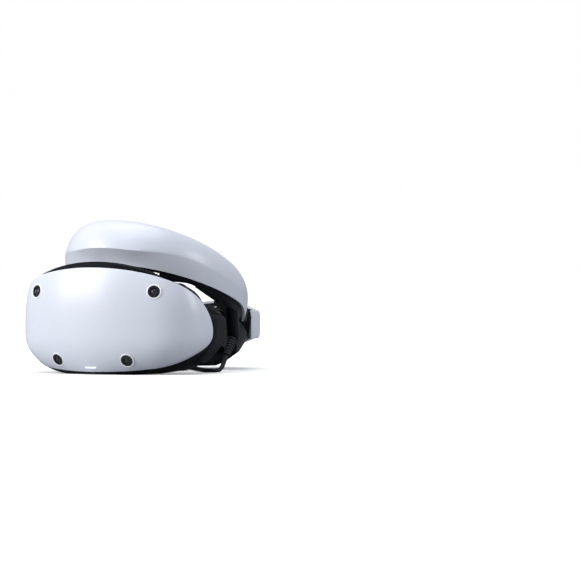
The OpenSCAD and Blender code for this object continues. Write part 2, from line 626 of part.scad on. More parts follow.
casing_a = 82;
casing_b = 138;
casing_in = 0.973;                        // inner face of the casing, as a share of the outer
casing_lip = 0.918;                       // reach of its upper and lower lips
casing_wall = 2.8;
casing_end = 47;
function swell(ph) = pow(max(0, cos(2.2 * ph)), 2);
function casing_point(ph, k, z) = concat(round_xy(ph, casing_a * k, casing_b * k), z);
function casing_section(ph) =
    let (hi = 62 + 9 * swell(ph), lo = 32 - 9 * swell(ph), w = casing_wall)
    [casing_point(ph, casing_lip, lo), casing_point(ph, 0.985, lo), casing_point(ph, 1, lo + 3),
     casing_point(ph, 1, hi - 3), casing_point(ph, 0.985, hi), casing_point(ph, casing_lip, hi),
     casing_point(ph, casing_lip, hi - w), casing_point(ph, 0.96, hi - w),
     casing_point(ph, casing_in, hi - w - 2), casing_point(ph, casing_in, lo + w + 2),
     casing_point(ph, 0.96, lo + w), casing_point(ph, casing_lip, lo + w)];
rear_z = 47;                              // height of the dial's axis
module rear_casing() color("gainsboro") seat() difference() {
    union() {
        loft([for (ph = [-casing_end : casing_end / 10 : casing_end + 0.1]) casing_section(ph)], true);
        for (side = [-1, 1]) for (p = rear_screw_at)
            translate([side * rear_screw_x, p[0] + 8, p[1]]) along_y(7, 259.5 - p[0]);
    }
    translate([0, 255, rear_z]) along_y(2 * dial_r + 1, 40);
    cradle();
    rear_screw_places() translate([0, 0, 6]) cylinder(d = 2.7, h = 10.2);
}

module strap(side) color([0.14, 0.14, 0.16]) in_ring()
    translate([side > 0 ? strap_x : -strap_x - strap_t, strap_from, strap_h[0]])
        cube([strap_t, strap_to - strap_from, strap_h[1]]);

module rear_screws() color("silver") seat() rear_screw_places() {
    cylinder(d = 5, h = screw_head);
    cylinder(d = 2.6, h = 16);
}

dial_back = 273;
dial_seat = 264;                          // face on which the dial's hub turns
gear_teeth = 20;
module rear_dial() color("dimgray") seat() translate([0, 0, rear_z]) difference() {
    union() {
        translate([0, dial_back, 0]) along_y(2 * dial_r, overall_l - dial_back);
        translate([0, dial_seat, 0]) along_y(19, dial_back - dial_seat);
        translate([0, 265, 0]) along_y(24, 3);
        for (k = [0 : gear_teeth - 1]) rotate([0, k * 360 / gear_teeth, 0])
            translate([11.5, 265, -0.8]) cube([1.8, 3, 1.6]);
    }
    translate([0, 260, 0]) along_y(2 * release_r + 2 * run, 40);
    translate([0, overall_l - 1.5, 0]) along_y(2 * release_r + 8, 5);
}

module release_button() color("gray") seat() translate([0, 269.5, rear_z])
    along_y(2 * release_r, overall_l - 269.5 - 0.6);

spring_turns = 3;
spring_y = [260, 6.7];                    // start and length, button fully pressed
function spring_ring(i, n) = let (a = 360 * spring_turns * i / n)
    [for (k = [0 : 5]) let (r = 4 + 0.5 * cos(k * 60))
        [r * cos(a), spring_y[0] + 0.5 + (spring_y[1] - 1) * i / n + 0.5 * sin(k * 60),
         rear_z + r * sin(a)]];
module release_spring() color("silver") seat()
    loft([for (i = [0 : 48]) spring_ring(i, 48)]);

front_cover();
camera_bezels();
camera_lenses();
camera_modules();
status_light();
mid_frame();
vent_grille();
lower_grille();
main_board();
heat_sink();
fan_housing();
fan_rotor();
shield_plate();
guide_rods();
rear_cover();
proximity_sensor();
light_shield();
scope_screws();
slide_bushes();
display(1);  // display_left
display(-1);  // display_right
barrel(1);  // barrel_left
barrel(-1);  // barrel_right
eye_lens(1);  // eye_lens_left
eye_lens(-1);  // eye_lens_right
ir_ring(1);  // ir_ring_left
ir_ring(-1);  // ir_ring_right
rack(1);  // rack_left
rack(-1);  // rack_right
lens_dial();
press_button(power_x, 8);  // power_button
press_button(function_x, 6);  // function_button
band_shell();
forehead_frame();
forehead_pad();
slide_bracket();
slide_rods();
liner(1);  // liner_left
liner(-1);  // liner_right
sleeve(1);  // sleeve_left
sleeve(-1);  // sleeve_right
scope_button();
vibration_motor();
eccentric_weight();
jack_socket();
cable_boss();
strain_relief();
usb_cable();
cable_coil();
cable_tie();
usb_plug();
rear_frame();
rear_pad();
rear_casing();
strap(1);  // strap_left
strap(-1);  // strap_right
rear_screws();
rear_dial();
release_button();
release_spring();
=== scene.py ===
"""Looks of a virtual reality headset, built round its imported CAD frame.

Sizes are millimetres in the part's drawing space: X to the wearer's left, D back from the
visor's front, Z up. seat() and tilted() turn them into metres in the shared frame.
"""

import json
import logging
import math
from contextlib import contextmanager
from dataclasses import dataclass
from enum import Enum
from typing import Callable, Iterator, Sequence

import bpy
from mathutils import Matrix, Vector

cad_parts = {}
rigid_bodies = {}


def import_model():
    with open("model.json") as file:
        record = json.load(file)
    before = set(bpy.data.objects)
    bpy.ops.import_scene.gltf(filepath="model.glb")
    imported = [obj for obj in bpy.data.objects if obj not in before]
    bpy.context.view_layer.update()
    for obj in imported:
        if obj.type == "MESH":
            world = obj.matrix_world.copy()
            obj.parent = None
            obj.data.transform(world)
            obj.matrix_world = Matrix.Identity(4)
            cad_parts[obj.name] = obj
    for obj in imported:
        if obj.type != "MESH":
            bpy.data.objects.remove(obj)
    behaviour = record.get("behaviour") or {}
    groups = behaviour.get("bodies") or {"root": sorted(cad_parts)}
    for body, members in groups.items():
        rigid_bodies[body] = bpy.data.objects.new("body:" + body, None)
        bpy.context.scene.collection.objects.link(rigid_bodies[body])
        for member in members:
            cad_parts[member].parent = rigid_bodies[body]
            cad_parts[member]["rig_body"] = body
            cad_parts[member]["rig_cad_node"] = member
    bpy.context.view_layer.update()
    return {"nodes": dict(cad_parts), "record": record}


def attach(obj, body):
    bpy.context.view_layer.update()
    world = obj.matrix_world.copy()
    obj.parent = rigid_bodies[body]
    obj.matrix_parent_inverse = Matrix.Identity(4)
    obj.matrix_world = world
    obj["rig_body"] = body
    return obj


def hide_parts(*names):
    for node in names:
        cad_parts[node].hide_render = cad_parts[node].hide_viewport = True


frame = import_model()

LOG = logging.getLogger("headset")
MM = 0.001
HALF_LENGTH = 142.0
Place = Callable[[float, float], Vector]
Table = Sequence[tuple[float, float]]

BAND_TILT = math.radians(19.5)
RING_D = 138.0
RING_Z = 89.0


# ---- places ----
def seat(x: float, d: float, z: float) -> Vector:
    """Point of the drawing space in the shared frame, in metres."""
    return Vector((x, d - HALF_LENGTH, z)) * MM


def tilted(x: float, w: float, h: float) -> Vector:
    """Point of the headband's tilted ring in the shared frame, in metres."""
    c, s = math.cos(BAND_TILT), math.sin(BAND_TILT)
    return seat(x, RING_D + w * c + h * s, RING_Z - w * s + h * c)


def power(value: float, exponent: float) -> float:
    """The value's size to a power, with its sign kept."""
    return math.copysign(abs(value) ** exponent, value)


def lookup(value: float, table: Table) -> float:
    """Straight-line look-up in a table of (value, result) rows in rising order.

    Args:
        value: where to look.
        table: the rows.

    Returns:
        The result, held at the table's ends.
    """
    if value <= table[0][0]:
        return table[0][1]
    for (a, p), (b, q) in zip(table, table[1:]):
        if value <= b:
            return p + (q - p) * (value - a) / (b - a)
    return table[-1][1]


def smooth(value: float) -> float:
    """Eased step from 0 to 1.

    Args:
        value: any number.

    Returns:
        The eased value.
    """
    t = min(1.0, max(0.0, value))
    return t * t * (3 - 2 * t)


# ---- workbench ----
def deselect() -> None:
    """Leaves nothing selected."""
    for o in list(bpy.context.selected_objects):
        o.select_set(False)
    bpy.context.view_layer.objects.active = None


def activate(piece: bpy.types.Object) -> None:
    """Selects one piece alone.

    Args:
        piece: the object to select.
    """
    deselect()
    piece.select_set(True)
    bpy.context.view_layer.objects.active = piece


@contextmanager
def editing(piece: bpy.types.Object) -> Iterator[None]:
    """Edit mode on one piece, with all of it selected.

    Args:
        piece: the object to edit.
    """
    activate(piece)
    bpy.ops.object.mode_set(mode="EDIT")
    bpy.ops.mesh.select_all(action="SELECT")
    try:
        yield
    finally:
        bpy.ops.object.mode_set(mode="OBJECT")


def apply_modifier(piece: bpy.types.Object, kind: str, **settings: object) -> None:
    """Adds a modifier with these settings and applies it.

    Args:
        piece: the object it works on.
        kind: Blender's modifier type.
        settings: the modifier's own values.
    """
    activate(piece)
    made = piece.modifiers.new(kind.lower(), kind)
    for key, value in settings.items():
        setattr(made, key, value)
    bpy.ops.object.modifier_apply(modifier=made.name)


def add_skin(name: str, across: int, up: int, place: Place) -> bpy.types.Object:
    """A grid laid over a curved surface.

    Args:
        name: the piece's name.
        across: cells along u.
        up: cells along v.
        place: the point for u and v from 0 to 1.

    Returns:
        The open sheet.
    """
    deselect()
    bpy.ops.mesh.primitive_grid_add(x_subdivisions=across, y_subdivisions=up, size=1.0)
    skin = bpy.context.object
    skin.name = name
    for vertex in skin.data.vertices:
        vertex.co = place(vertex.co.x + 0.5, vertex.co.y + 0.5)
    return skin


def face_out(piece: bpy.types.Object, centre: Vector) -> None:
    """Turns an open sheet's faces away from a point inside it.

    Args:
        piece: the open sheet.
        centre: the point inside, in metres.
    """
    facing = sum(p.normal.dot(p.center - centre) * p.area for p in piece.data.polygons)
    if facing < 0:
        with editing(piece):
            bpy.ops.mesh.flip_normals()


def weld(piece: bpy.types.Object, ends: bool = True) -> None:
    """Joins a wrapped grid's seam, closes its ends and points its faces outwards.

    Args:
        piece: the wrapped grid.
        ends: whether its two ends are closed.
    """
    with editing(piece):
        bpy.ops.mesh.remove_doubles(threshold=1e-6)
        if ends:
            bpy.ops.mesh.fill_holes(sides=0)
        bpy.ops.mesh.normals_make_consistent(inside=False)


def thicken(piece: bpy.types.Object, wall: float) -> None:
    """Gives a sheet a wall of so many millimetres, inwards."""
    apply_modifier(piece, "SOLIDIFY", thickness=wall * MM, offset=-1.0, use_even_offset=True)


def soften(piece: bpy.types.Object, width: float, steps: int = 2, angle: float = 40) -> None:
    """Rounds edges sharper than an angle, over a width in millimetres."""
    apply_modifier(piece, "BEVEL", width=width * MM, segments=steps, limit_method="ANGLE",
                   angle_limit=math.radians(angle))


def shade(piece: bpy.types.Object, angle: float = 38) -> None:
    """Smooth shading that keeps edges sharper than an angle."""
    activate(piece)
    bpy.ops.object.shade_smooth_by_angle(angle=math.radians(angle))


def cut(piece: bpy.types.Object, *tools: bpy.types.Object) -> None:
    """Takes the tools' shapes out of a piece and removes them.

    Args:
        piece: the object that is cut.
        tools: the objects that cut it.
    """
    for tool in tools:
        apply_modifier(piece, "BOOLEAN", operation="DIFFERENCE", solver="EXACT", object=tool)
        bpy.data.objects.remove(tool)


def add_disc(name: str, radius: float, length: float, place: Matrix, sides: int = 64
             ) -> bpy.types.Object:
    """A cylinder of millimetre size whose base is at a place and which runs along its +Y.

    Args:
        name: the piece's name.
        radius: in millimetres.
        length: in millimetres.
        place: its base.
        sides: faces round it.

    Returns:
        The cylinder.
    """
    deselect()
    bpy.ops.mesh.primitive_cylinder_add(vertices=sides, radius=radius * MM, depth=length * MM)
    disc = bpy.context.object
    disc.name = name
    turn = Matrix.Rotation(math.radians(-90), 4, "X")
    disc.data.transform(place @ turn @ Matrix.Translation((0, 0, length * MM / 2)))
    return disc


def at(x: float, d: float, z: float) -> Matrix:
    """Placement at a point of the drawing space, unturned."""
    return Matrix.Translation(seat(x, d, z))


def tube_along(name: str, path: Sequence[Vector], radius: float, closed: bool, sides: int = 10
               ) -> bpy.types.Object:
    """A round bead along a path.

    Args:
        name: the piece's name.
        path: points in metres.
        radius: in millimetres.
        closed: whether the path returns to its start.
        sides: faces round the bead.

    Returns:
        The closed bead.
    """
    count = len(path)
    last = count if closed else count - 1

    def ring(u: float, v: float) -> Vector:
        """Point round the bead's path."""
        i = round(u * last)
        here = path[i % count]
        ahead = path[(i + 1) % count] if closed else path[min(i + 1, count - 1)]
        behind = path[(i - 1) % count] if closed else path[max(i - 1, 0)]
        along = (ahead - behind).normalized()
        side = along.cross(Vector((0.2, 0.1, 1))).normalized()
        lift = side.cross(along)
        a = math.tau * v
        return here + (side * math.cos(a) + lift * math.sin(a)) * radius * MM

    bead = add_skin(name, last, sides, ring)
    weld(bead, ends=not closed)
    shade(bead, 50)
    return bead


# ---- finishes ----
class Texture(Enum):
    """How a surface is textured."""

    GRAIN = "moulded_grain"
    PEBBLE = "pebbled_cover"
    BRUSHED = "brushed_metal"
    WEAVE = "woven_tape"
    RINGS = "lens_rings"


class SharedGroups:
    """Shader node groups that the finishes share, each built once."""

    made: dict[str, bpy.types.NodeTree] = {}

    @classmethod
    def start(cls, name: str, inputs: dict[str, str], outputs: dict[str, str]
              ) -> tuple[bpy.types.NodeTree, bpy.types.Node, bpy.types.Node]:
        """An empty group with named sockets, and its input and output nodes.

        Args:
            name: the group's name.
            inputs: socket kinds by label.
            outputs: socket kinds by label.

        Returns:
            The tree, its input node and its output node.
        """
        tree = bpy.data.node_groups.new(name, "ShaderNodeTree")
        for way, sockets in (("INPUT", inputs), ("OUTPUT", outputs)):
            for label, kind in sockets.items():
                tree.interface.new_socket(label, in_out=way, socket_type=f"NodeSocket{kind}")
        cls.made[name] = tree
        return tree, tree.nodes.new("NodeGroupInput"), tree.nodes.new("NodeGroupOutput")

    @classmethod
    def texture(cls, kind: Texture) -> bpy.types.NodeTree:
        """The group that gives one texture's colour, roughness and height.

        Args:
            kind: the texture.

        Returns:
            The group's tree.
        """
        if kind.value in cls.made:
            return cls.made[kind.value]
        tree, source, result = cls.start(
            kind.value,
            {"Colour": "Color", "Tint": "Color", "Size": "Float", "Roughness": "Float",
             "Spread": "Float"},
            {"Colour": "Color", "Roughness": "Float", "Height": "Float"})
        link = tree.links.new
        coord = tree.nodes.new("ShaderNodeTexCoord")
        broad = tree.nodes.new("ShaderNodeTexNoise")
        broad.inputs["Scale"].default_value = 22.0
        broad.inputs["Detail"].default_value = 4.0
        link(coord.outputs["Object"], broad.inputs["Vector"])
        height = cls.height_of(tree, kind, coord, source)
        blend = tree.nodes.new("ShaderNodeMix")
        blend.data_type = "RGBA"
        link(broad.outputs["Fac"], blend.inputs["Factor"])
        link(source.outputs["Colour"], blend.inputs["A"])
        link(source.outputs["Tint"], blend.inputs["B"])
        shift = tree.nodes.new("ShaderNodeMath")
        shift.operation = "MULTIPLY_ADD"
        link(height, shift.inputs[0])
        link(source.outputs["Spread"], shift.inputs[1])
        link(source.outputs["Roughness"], shift.inputs[2])
        link(blend.outputs["Result"], result.inputs["Colour"])
        link(shift.outputs[0], result.inputs["Roughness"])
        link(height, result.inputs["Height"])
        return tree

    @classmethod
    def height_of(cls, tree: bpy.types.NodeTree, kind: Texture, coord: bpy.types.Node,
                  source: bpy.types.Node) -> bpy.types.NodeSocket:
        """The height pattern of one texture, as a socket.

        Args:
            tree: the group's tree.
            kind: the texture.
            coord: the coordinates.
            source: the group's input node.

        Returns:
            The socket that carries the height.
        """
        link = tree.links.new
        if kind is Texture.PEBBLE:
            cells = tree.nodes.new("ShaderNodeTexVoronoi")
            cells.feature = "SMOOTH_F1"
            link(coord.outputs["Object"], cells.inputs["Vector"])
            link(source.outputs["Size"], cells.inputs["Scale"])
            return cells.outputs["Distance"]
        if kind is Texture.WEAVE:
            waves = []
            for turn in (45.0, -45.0):
                wave = tree.nodes.new("ShaderNodeTexWave")
                mapping = tree.nodes.new("ShaderNodeMapping")
                mapping.inputs["Rotation"].default_value = (0.0, math.radians(turn), 0.0)
                link(coord.outputs["Object"], mapping.inputs["Vector"])
                link(mapping.outputs["Vector"], wave.inputs["Vector"])
                link(source.outputs["Size"], wave.inputs["Scale"])
                waves.append(wave)
            peak = tree.nodes.new("ShaderNodeMath")
            peak.operation = "MAXIMUM"
            link(waves[0].outputs["Fac"], peak.inputs[0])
            link(waves[1].outputs["Fac"], peak.inputs[1])
            return peak.outputs[0]
        if kind is Texture.RINGS:
            wave = tree.nodes.new("ShaderNodeTexWave")
            wave.wave_type = "RINGS"
            wave.rings_direction = "Y"
            link(coord.outputs["Object"], wave.inputs["Vector"])
            link(source.outputs["Size"], wave.inputs["Scale"])
            return wave.outputs["Fac"]
        noise = tree.nodes.new("ShaderNodeTexNoise")
        noise.inputs["Detail"].default_value = 3.0
        link(source.outputs["Size"], noise.inputs["Scale"])
        if kind is Texture.BRUSHED:
            mapping = tree.nodes.new("ShaderNodeMapping")
            mapping.inputs["Scale"].default_value = (0.06, 1.0, 1.0)
            link(coord.outputs["Object"], mapping.inputs["Vector"])
            link(mapping.outputs["Vector"], noise.inputs["Vector"])
        else:
            link(coord.outputs["Object"], noise.inputs["Vector"])
        return noise.outputs["Fac"]

    @classmethod
    def wear(cls) -> bpy.types.NodeTree:
        """The group that rubs a second colour onto raised edges."""
        name = "edge_wear"
        if name in cls.made:
            return cls.made[name]
        tree, source, result = cls.start(
            name, {"Colour": "Color", "Rubbed": "Color", "Amount": "Float"}, {"Colour": "Color"})
        link = tree.links.new
        shape = tree.nodes.new("ShaderNodeNewGeometry")
        spread = tree.nodes.new("ShaderNodeMapRange")
        spread.inputs["From Min"].default_value = 0.53
        spread.inputs["From Max"].default_value = 0.66
        scaled = tree.nodes.new("ShaderNodeMath")
        scaled.operation = "MULTIPLY"
        blend = tree.nodes.new("ShaderNodeMix")
        blend.data_type = "RGBA"
        link(shape.outputs["Pointiness"], spread.inputs["Value"])
        link(spread.outputs["Result"], scaled.inputs[0])
        link(source.outputs["Amount"], scaled.inputs[1])
        link(scaled.outputs[0], blend.inputs["Factor"])
        link(source.outputs["Colour"], blend.inputs["A"])
        link(source.outputs["Rubbed"], blend.inputs["B"])
        link(blend.outputs["Result"], result.inputs["Colour"])
        return tree


@dataclass(frozen=True)
class Finish:
    """One surface finish, with sizes in the shader's own units."""

    name: str
    slot: str
    colour: tuple[float, float, float]
    tint: tuple[float, float, float]
    texture: Texture = Texture.GRAIN
    size: float = 900.0
    depth: float = 0.00004
    roughness: float = 0.4
    spread: float = 0.1
    metallic: float = 0.0
    coat: float = 0.0
    sheen: float = 0.0
    transmission: float = 0.0
    ior: float = 1.46
    specular: float = 0.5
    glow: float = 0.0
    wear: float = 0.15

    def material(self) -> bpy.types.Material:
        """The finish as a material, built once."""
        found = bpy.data.materials.get(self.name)
        if found:
            return found
        made = bpy.data.materials.new(self.name)
        made.use_nodes = True
        tree = made.node_tree
        shader = tree.nodes["Principled BSDF"]
        link = tree.links.new
        texture = tree.nodes.new("ShaderNodeGroup")
        texture.node_tree = SharedGroups.texture(self.texture)
        texture.inputs["Colour"].default_value = (*self.colour, 1.0)
        texture.inputs["Tint"].default_value = (*self.tint, 1.0)
        texture.inputs["Size"].default_value = self.size
        texture.inputs["Roughness"].default_value = self.roughness - self.spread / 2
        texture.inputs["Spread"].default_value = self.spread
        rubbed = tree.nodes.new("ShaderNodeGroup")
        rubbed.node_tree = SharedGroups.wear()
        lighter = [min(1.0, c * 1.5 + 0.03) for c in self.colour]
        rubbed.inputs["Rubbed"].default_value = (*lighter, 1.0)
        rubbed.inputs["Amount"].default_value = self.wear
        bump = tree.nodes.new("ShaderNodeBump")
        bump.inputs["Distance"].default_value = self.depth
        link(texture.outputs["Colour"], rubbed.inputs["Colour"])
        link(rubbed.outputs["Colour"], shader.inputs["Base Color"])
        link(texture.outputs["Roughness"], shader.inputs["Roughness"])
        link(texture.outputs["Height"], bump.inputs["Height"])
        link(bump.outputs["Normal"], shader.inputs["Normal"])
        constants = {"Metallic": self.metallic, "Coat Weight": self.coat, "Coat Roughness": 0.08,
                     "Sheen Weight": self.sheen, "Transmission Weight": self.transmission,
                     "IOR": self.ior, "Specular IOR Level": self.specular,
                     "Emission Strength": self.glow}
        for label, value in constants.items():
            shader.inputs[label].default_value = value
        if self.glow:
            shader.inputs["Emission Color"].default_value = (0.92, 0.96, 1.0, 1.0)
        return made


def plain(name: str, colour: tuple[float, float, float], **rest: object) -> Finish:
    """A finish named after its record slot, with a tint near its colour."""
    tint = tuple(min(1.0, c * 0.93) for c in colour)
    return Finish(name=f"{name}_finish", slot=name, colour=colour, tint=tint, **rest)


WHITE = plain("white_shell", (0.66, 0.69, 0.77), roughness=0.32, spread=0.08, depth=0.00003,
              coat=0.1, wear=0.05)
# Painted highlight: the rims are the shell's white plastic in a much lighter colour, for the light
# on their edges.
RIM_HIGHLIGHT = Finish("camera_rim_painted_highlight", "white_shell", (0.93, 0.94, 0.97), (0.88, 0.90, 0.94),
             roughness=0.22, spread=0.05, depth=0.00001, coat=0.3, wear=0.0)
BLACK = plain("black_plastic", (0.0020, 0.0034, 0.0060), roughness=0.42, spread=0.12, wear=0.1,
              specular=0.1)
DARK = plain("dark_plastic", (0.016, 0.018, 0.024), roughness=0.42, spread=0.12, wear=0.15,
             specular=0.25)
GLOSS = plain("gloss_black", (0.006, 0.007, 0.010), roughness=0.12, spread=0.04, depth=0.000004,
              coat=0.6, wear=0.0)
SILICONE = plain("soft_rubber", (0.0028, 0.0046, 0.0080), roughness=0.5, spread=0.1, size=1400.0,
                 depth=0.00003, wear=0.05, specular=0.13)
PAD = plain("pad_cover", (0.010, 0.011, 0.015), texture=Texture.PEBBLE, size=620.0, depth=0.00016,
            roughness=0.62, spread=0.18, sheen=0.1, wear=0.0, specular=0.3)
LENS = plain("optic_glass", (0.93, 0.96, 1.0), texture=Texture.RINGS, size=180.0, depth=0.00001,
             roughness=0.04, spread=0.02, transmission=1.0, ior=1.5, wear=0.0)
WINDOW = plain("camera_glass", (0.012, 0.014, 0.035), roughness=0.06, spread=0.02, coat=1.0,
               depth=0.000002, wear=0.0)
LIGHT = plain("light_pipe", (0.9, 0.93, 1.0), roughness=0.3, glow=0.9, wear=0.0)
BOARD = plain("circuit_board", (0.012, 0.10, 0.045), texture=Texture.WEAVE, size=260.0,
              depth=0.00005, roughness=0.35, wear=0.1)
ALUMINIUM = plain("aluminium", (0.72, 0.73, 0.75), roughness=0.42, spread=0.15, metallic=1.0,
                  size=2200.0)
STEEL = plain("steel", (0.56, 0.57, 0.59), texture=Texture.BRUSHED, size=1800.0, depth=0.00001,
              roughness=0.28, spread=0.16, metallic=1.0)
BRONZE = plain("bronze", (0.55, 0.38, 0.17), roughness=0.4, spread=0.15, metallic=1.0, size=1500.0)
PANEL = plain("display_panel", (0.010, 0.010, 0.022), roughness=0.1, spread=0.03, coat=0.8,
              depth=0.000003, wear=0.0)
JACKET = plain("cord_jacket", (0.008, 0.009, 0.012), roughness=0.5, spread=0.12, size=1700.0,
               depth=0.00004, specular=0.3)
FINISHES = {f.slot: f for f in (WHITE, BLACK, DARK, GLOSS, SILICONE, PAD, LENS, WINDOW, LIGHT,
                                BOARD, ALUMINIUM, STEEL, BRONZE, PANEL, JACKET)}


def settle(piece: bpy.types.Object, finish: Finish, body: str, *nodes: str) -> bpy.types.Object:
    """Dresses a finished piece and seats it on its body.

    Args:
        piece: the mesh or curve.
        finish: its surface.
        body: the CAD body that it rides on.
        nodes: CAD nodes that it stands for.

    Returns:
        The same piece.
    """
    piece.data.materials.clear()
    piece.data.materials.append(finish.material())
    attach(piece, body)
    if nodes:
        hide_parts(*nodes)
    LOG.info("%s rides on %s", piece.name, body)
    return piece


def dress_frame() -> None:
    """Gives every CAD node the finish of its record slot."""
    for row in frame["record"]["subparts"]:
        node, finish = frame["nodes"][row["node"]], FINISHES[row["material_slot"]]
        if not node.material_slots:
            node.data.materials.append(finish.material())
        for place in node.material_slots:
            place.link = "OBJECT"
            place.material = finish.material()


# ---- visor ----
@dataclass
class Visor:
    """The visor: its cover, frame, grille, light shield and small outside parts."""

    front_r: float = 204.0
    front_half: float = 68.0
    corner_r: float = 51.0
    corner_to: float = 85.0
    half_arc: float = 142.0
    waist_z: float = 44.0
    rise: float = 62.0
    drop: float = 41.2
    wall: float = 2.4
    eye_z: float = 50.0
    camera_d: float = 12.0
    cameras: Table = ((29.6, 0.711), (-29.6, 0.711), (16.9, -0.739), (-16.9, -0.739))
    lens_r: float = 3.1
    light_v: float = -0.898
    edge_q: float = 86.0
    frame_from: float = 26.2
    frame_run: float = 35.7
    shield_from: float = 66.1
    fins_a_side: int = 22
    fin_step: float = 1.42
    fin_setback: float = 17.0
    body: str = "scope"
    frame_w: Table = ((26, 83.5), (30, 87.5), (36, 90), (44, 92), (52, 94), (62, 95.5), (66, 96))
    frame_top: Table = ((26, 104), (34, 103), (44, 98.5), (52, 96), (66, 95))
    shield_w: Table = ((66, 96), (76, 97), (90, 96.5), (112, 93))
    shield_top: Table = ((66, 84), (90, 84), (112, 80))

    def plan(self, q: float) -> tuple[float, float, float]:
        """X, depth and turn in degrees of the plan curve for q from -90 to 90.

        Args:
            q: place round the visor.

        Returns:
            X, depth and turn.
        """
        s = self.half_arc * abs(math.sin(math.radians(q)))
        bend = math.degrees(math.asin(self.front_half / self.front_r))
        first = self.front_r * math.radians(bend)
        second = self.corner_r * math.radians(self.corner_to - bend)
        if s <= first:
            a = math.degrees(s / self.front_r)
        else:
            a = min(self.corner_to, bend + math.degrees((s - first) / self.corner_r))
        f, turn = math.radians(min(a, bend)), math.radians(a)
        rest = max(0.0, s - first - second)
        x = self.front_r * math.sin(f) + self.corner_r * (math.sin(turn) - math.sin(f))
        d = self.front_r * (1 - math.cos(f)) + self.corner_r * (math.cos(f) - math.cos(turn))
        return x + rest * math.cos(turn), d + rest * math.sin(turn), a

    def height(self, q: float, v: float) -> float:
        """Height of the cover for v from -1 to 1.

        Args:
            q: place round the visor.
            v: place up the cover.

        Returns:
            The height in millimetres.
        """
        c = math.cos(math.radians(q))
        reach = self.rise * c if v > 0 else self.drop * c ** 0.7
        return self.waist_z + v * reach

    def lean(self, q: float, v: float) -> float:
        """How far the cover's edge leans back."""
        s = abs(math.sin(math.radians(q)))
        return 6.5 * math.cos(math.radians(q)) if v > 0 else (8 + 14 * s) * (1 - s ** 6)

    def skin(self, q: float, v: float) -> Vector:
        """Point of the cover's outer skin, in millimetres.

        Args:
            q: place round the visor.
            v: place up the cover.

        Returns:
            The point.
        """
        x, d, turn = self.plan(q)
        a, back = math.radians(turn), self.lean(q, v) * abs(v) ** 3
        side = math.copysign(1.0, q)
        return Vector((side * (x - math.sin(a) * back), d + math.cos(a) * back, self.height(q, v)))

    def on_skin(self, q: float, v: float) -> Matrix:
        """Placement at the skin whose +Y runs into the cover.

        Args:
            q: place round the visor.
            v: place up the cover.

        Returns:
            The placement.
        """
        p = self.skin(q, v)
        slope = abs(self.height(q, math.copysign(1.0, v)) - self.waist_z)
        tilt = math.atan(3 * self.lean(q, v) * v * abs(v) / slope)
        turn = math.copysign(math.radians(self.plan(q)[2]), q)
        return (Matrix.Translation(seat(*p)) @ Matrix.Rotation(turn, 4, "Z")
                @ Matrix.Rotation(-tilt, 4, "X"))

    def outline(self, d: float, angle: float, w: float, top: float, sharp: float,
                inset: float = 0.0) -> Vector:
        """Point of an upright ring of the visor's body.

        Args:
            d: depth of the ring.
            angle: place round it, in radians.
            w: half its width.
            top: its height.
            sharp: how square its corners are.
            inset: how far inside the ring.

        Returns:
            The point in metres.
        """
        c = power(math.cos(angle), 2 / sharp)
        s = power(math.sin(angle), 2 / sharp)
        reach = top - inset - self.eye_z if s > 0 else self.eye_z + 1.5 - inset
        return seat((w - inset) * c, d, max(0.0, self.eye_z + s * reach))

    def build_cover(self) -> None:
        """The white front cover, with its camera and light openings."""
        cover = add_skin("visor_cover", 150, 60,
                         lambda u, v: seat(*self.skin(self.edge_q * (2 * u - 1), 2 * v - 1)))
        face_out(cover, seat(0, 60, 50))
        thicken(cover, self.wall)
        tools = [add_disc("hole", self.camera_d / 2 + 0.08, 14,
                          self.on_skin(q, v) @ Matrix.Translation((0, -5 * MM, 0)), 48)
                 for q, v in self.cameras]
        deselect()
        bpy.ops.mesh.primitive_cube_add(size=1.0)
        slit = bpy.context.object
        size = Matrix.Diagonal((11.7 * MM, 12 * MM, 1.1 * MM, 1))
        slit.data.transform(self.on_skin(0.001, self.light_v) @ size)
        cut(cover, *tools, slit)
        soften(cover, 0.5, 2, 55)
        shade(cover, 32)
        settle(cover, WHITE, self.body, "front_cover")

    def build_camera_rims(self) -> None:
        """A raised white rim round each camera window, lighter than the shell as a painted
        highlight.
        """
        for number, (q, v) in enumerate(self.cameras):
            deselect()
            bpy.ops.mesh.primitive_torus_add(major_segments=72, minor_segments=14,
                                             major_radius=(self.camera_d / 2 + 0.75) * MM,
                                             minor_radius=0.7 * MM)
            rim = bpy.context.object
            rim.name = f"camera_rim_{number}"
            with editing(rim):
                bpy.ops.transform.resize(value=(1, 1, 0.55))
            rim.data.transform(self.on_skin(q, v) @ Matrix.Rotation(math.radians(90), 4, "X"))
            shade(rim, 60)
            settle(rim, RIM_HIGHLIGHT, self.body)

    def build_camera_barrels(self) -> None:
        """The stepped ring and small lens that show inside each window."""
        for number, (q, v) in enumerate(self.cameras):
            place = self.on_skin(q, v)
            ring = add_disc(f"camera_step_{number}", self.lens_r, 0.9,
                            place @ Matrix.Translation((0, -0.1 * MM, 0)), 48)
            with editing(ring):
                bpy.ops.mesh.select_all(action="DESELECT")
            outward = (place.to_3x3() @ Vector((0, -1, 0))).normalized()
            for face in ring.data.polygons:
                face.select = face.normal.dot(outward) > 0.9
            activate(ring)
            bpy.ops.object.mode_set(mode="EDIT")
            bpy.ops.mesh.inset(thickness=0.9 * MM)
            bpy.ops.transform.translate(value=-outward * 0.35 * MM)
            bpy.ops.mesh.inset(thickness=0.5 * MM)
            bpy.ops.transform.translate(value=outward * 0.3 * MM)
            bpy.ops.object.mode_set(mode="OBJECT")
            soften(ring, 0.12, 2, 30)
            shade(ring, 30)
            settle(ring, GLOSS, self.body)

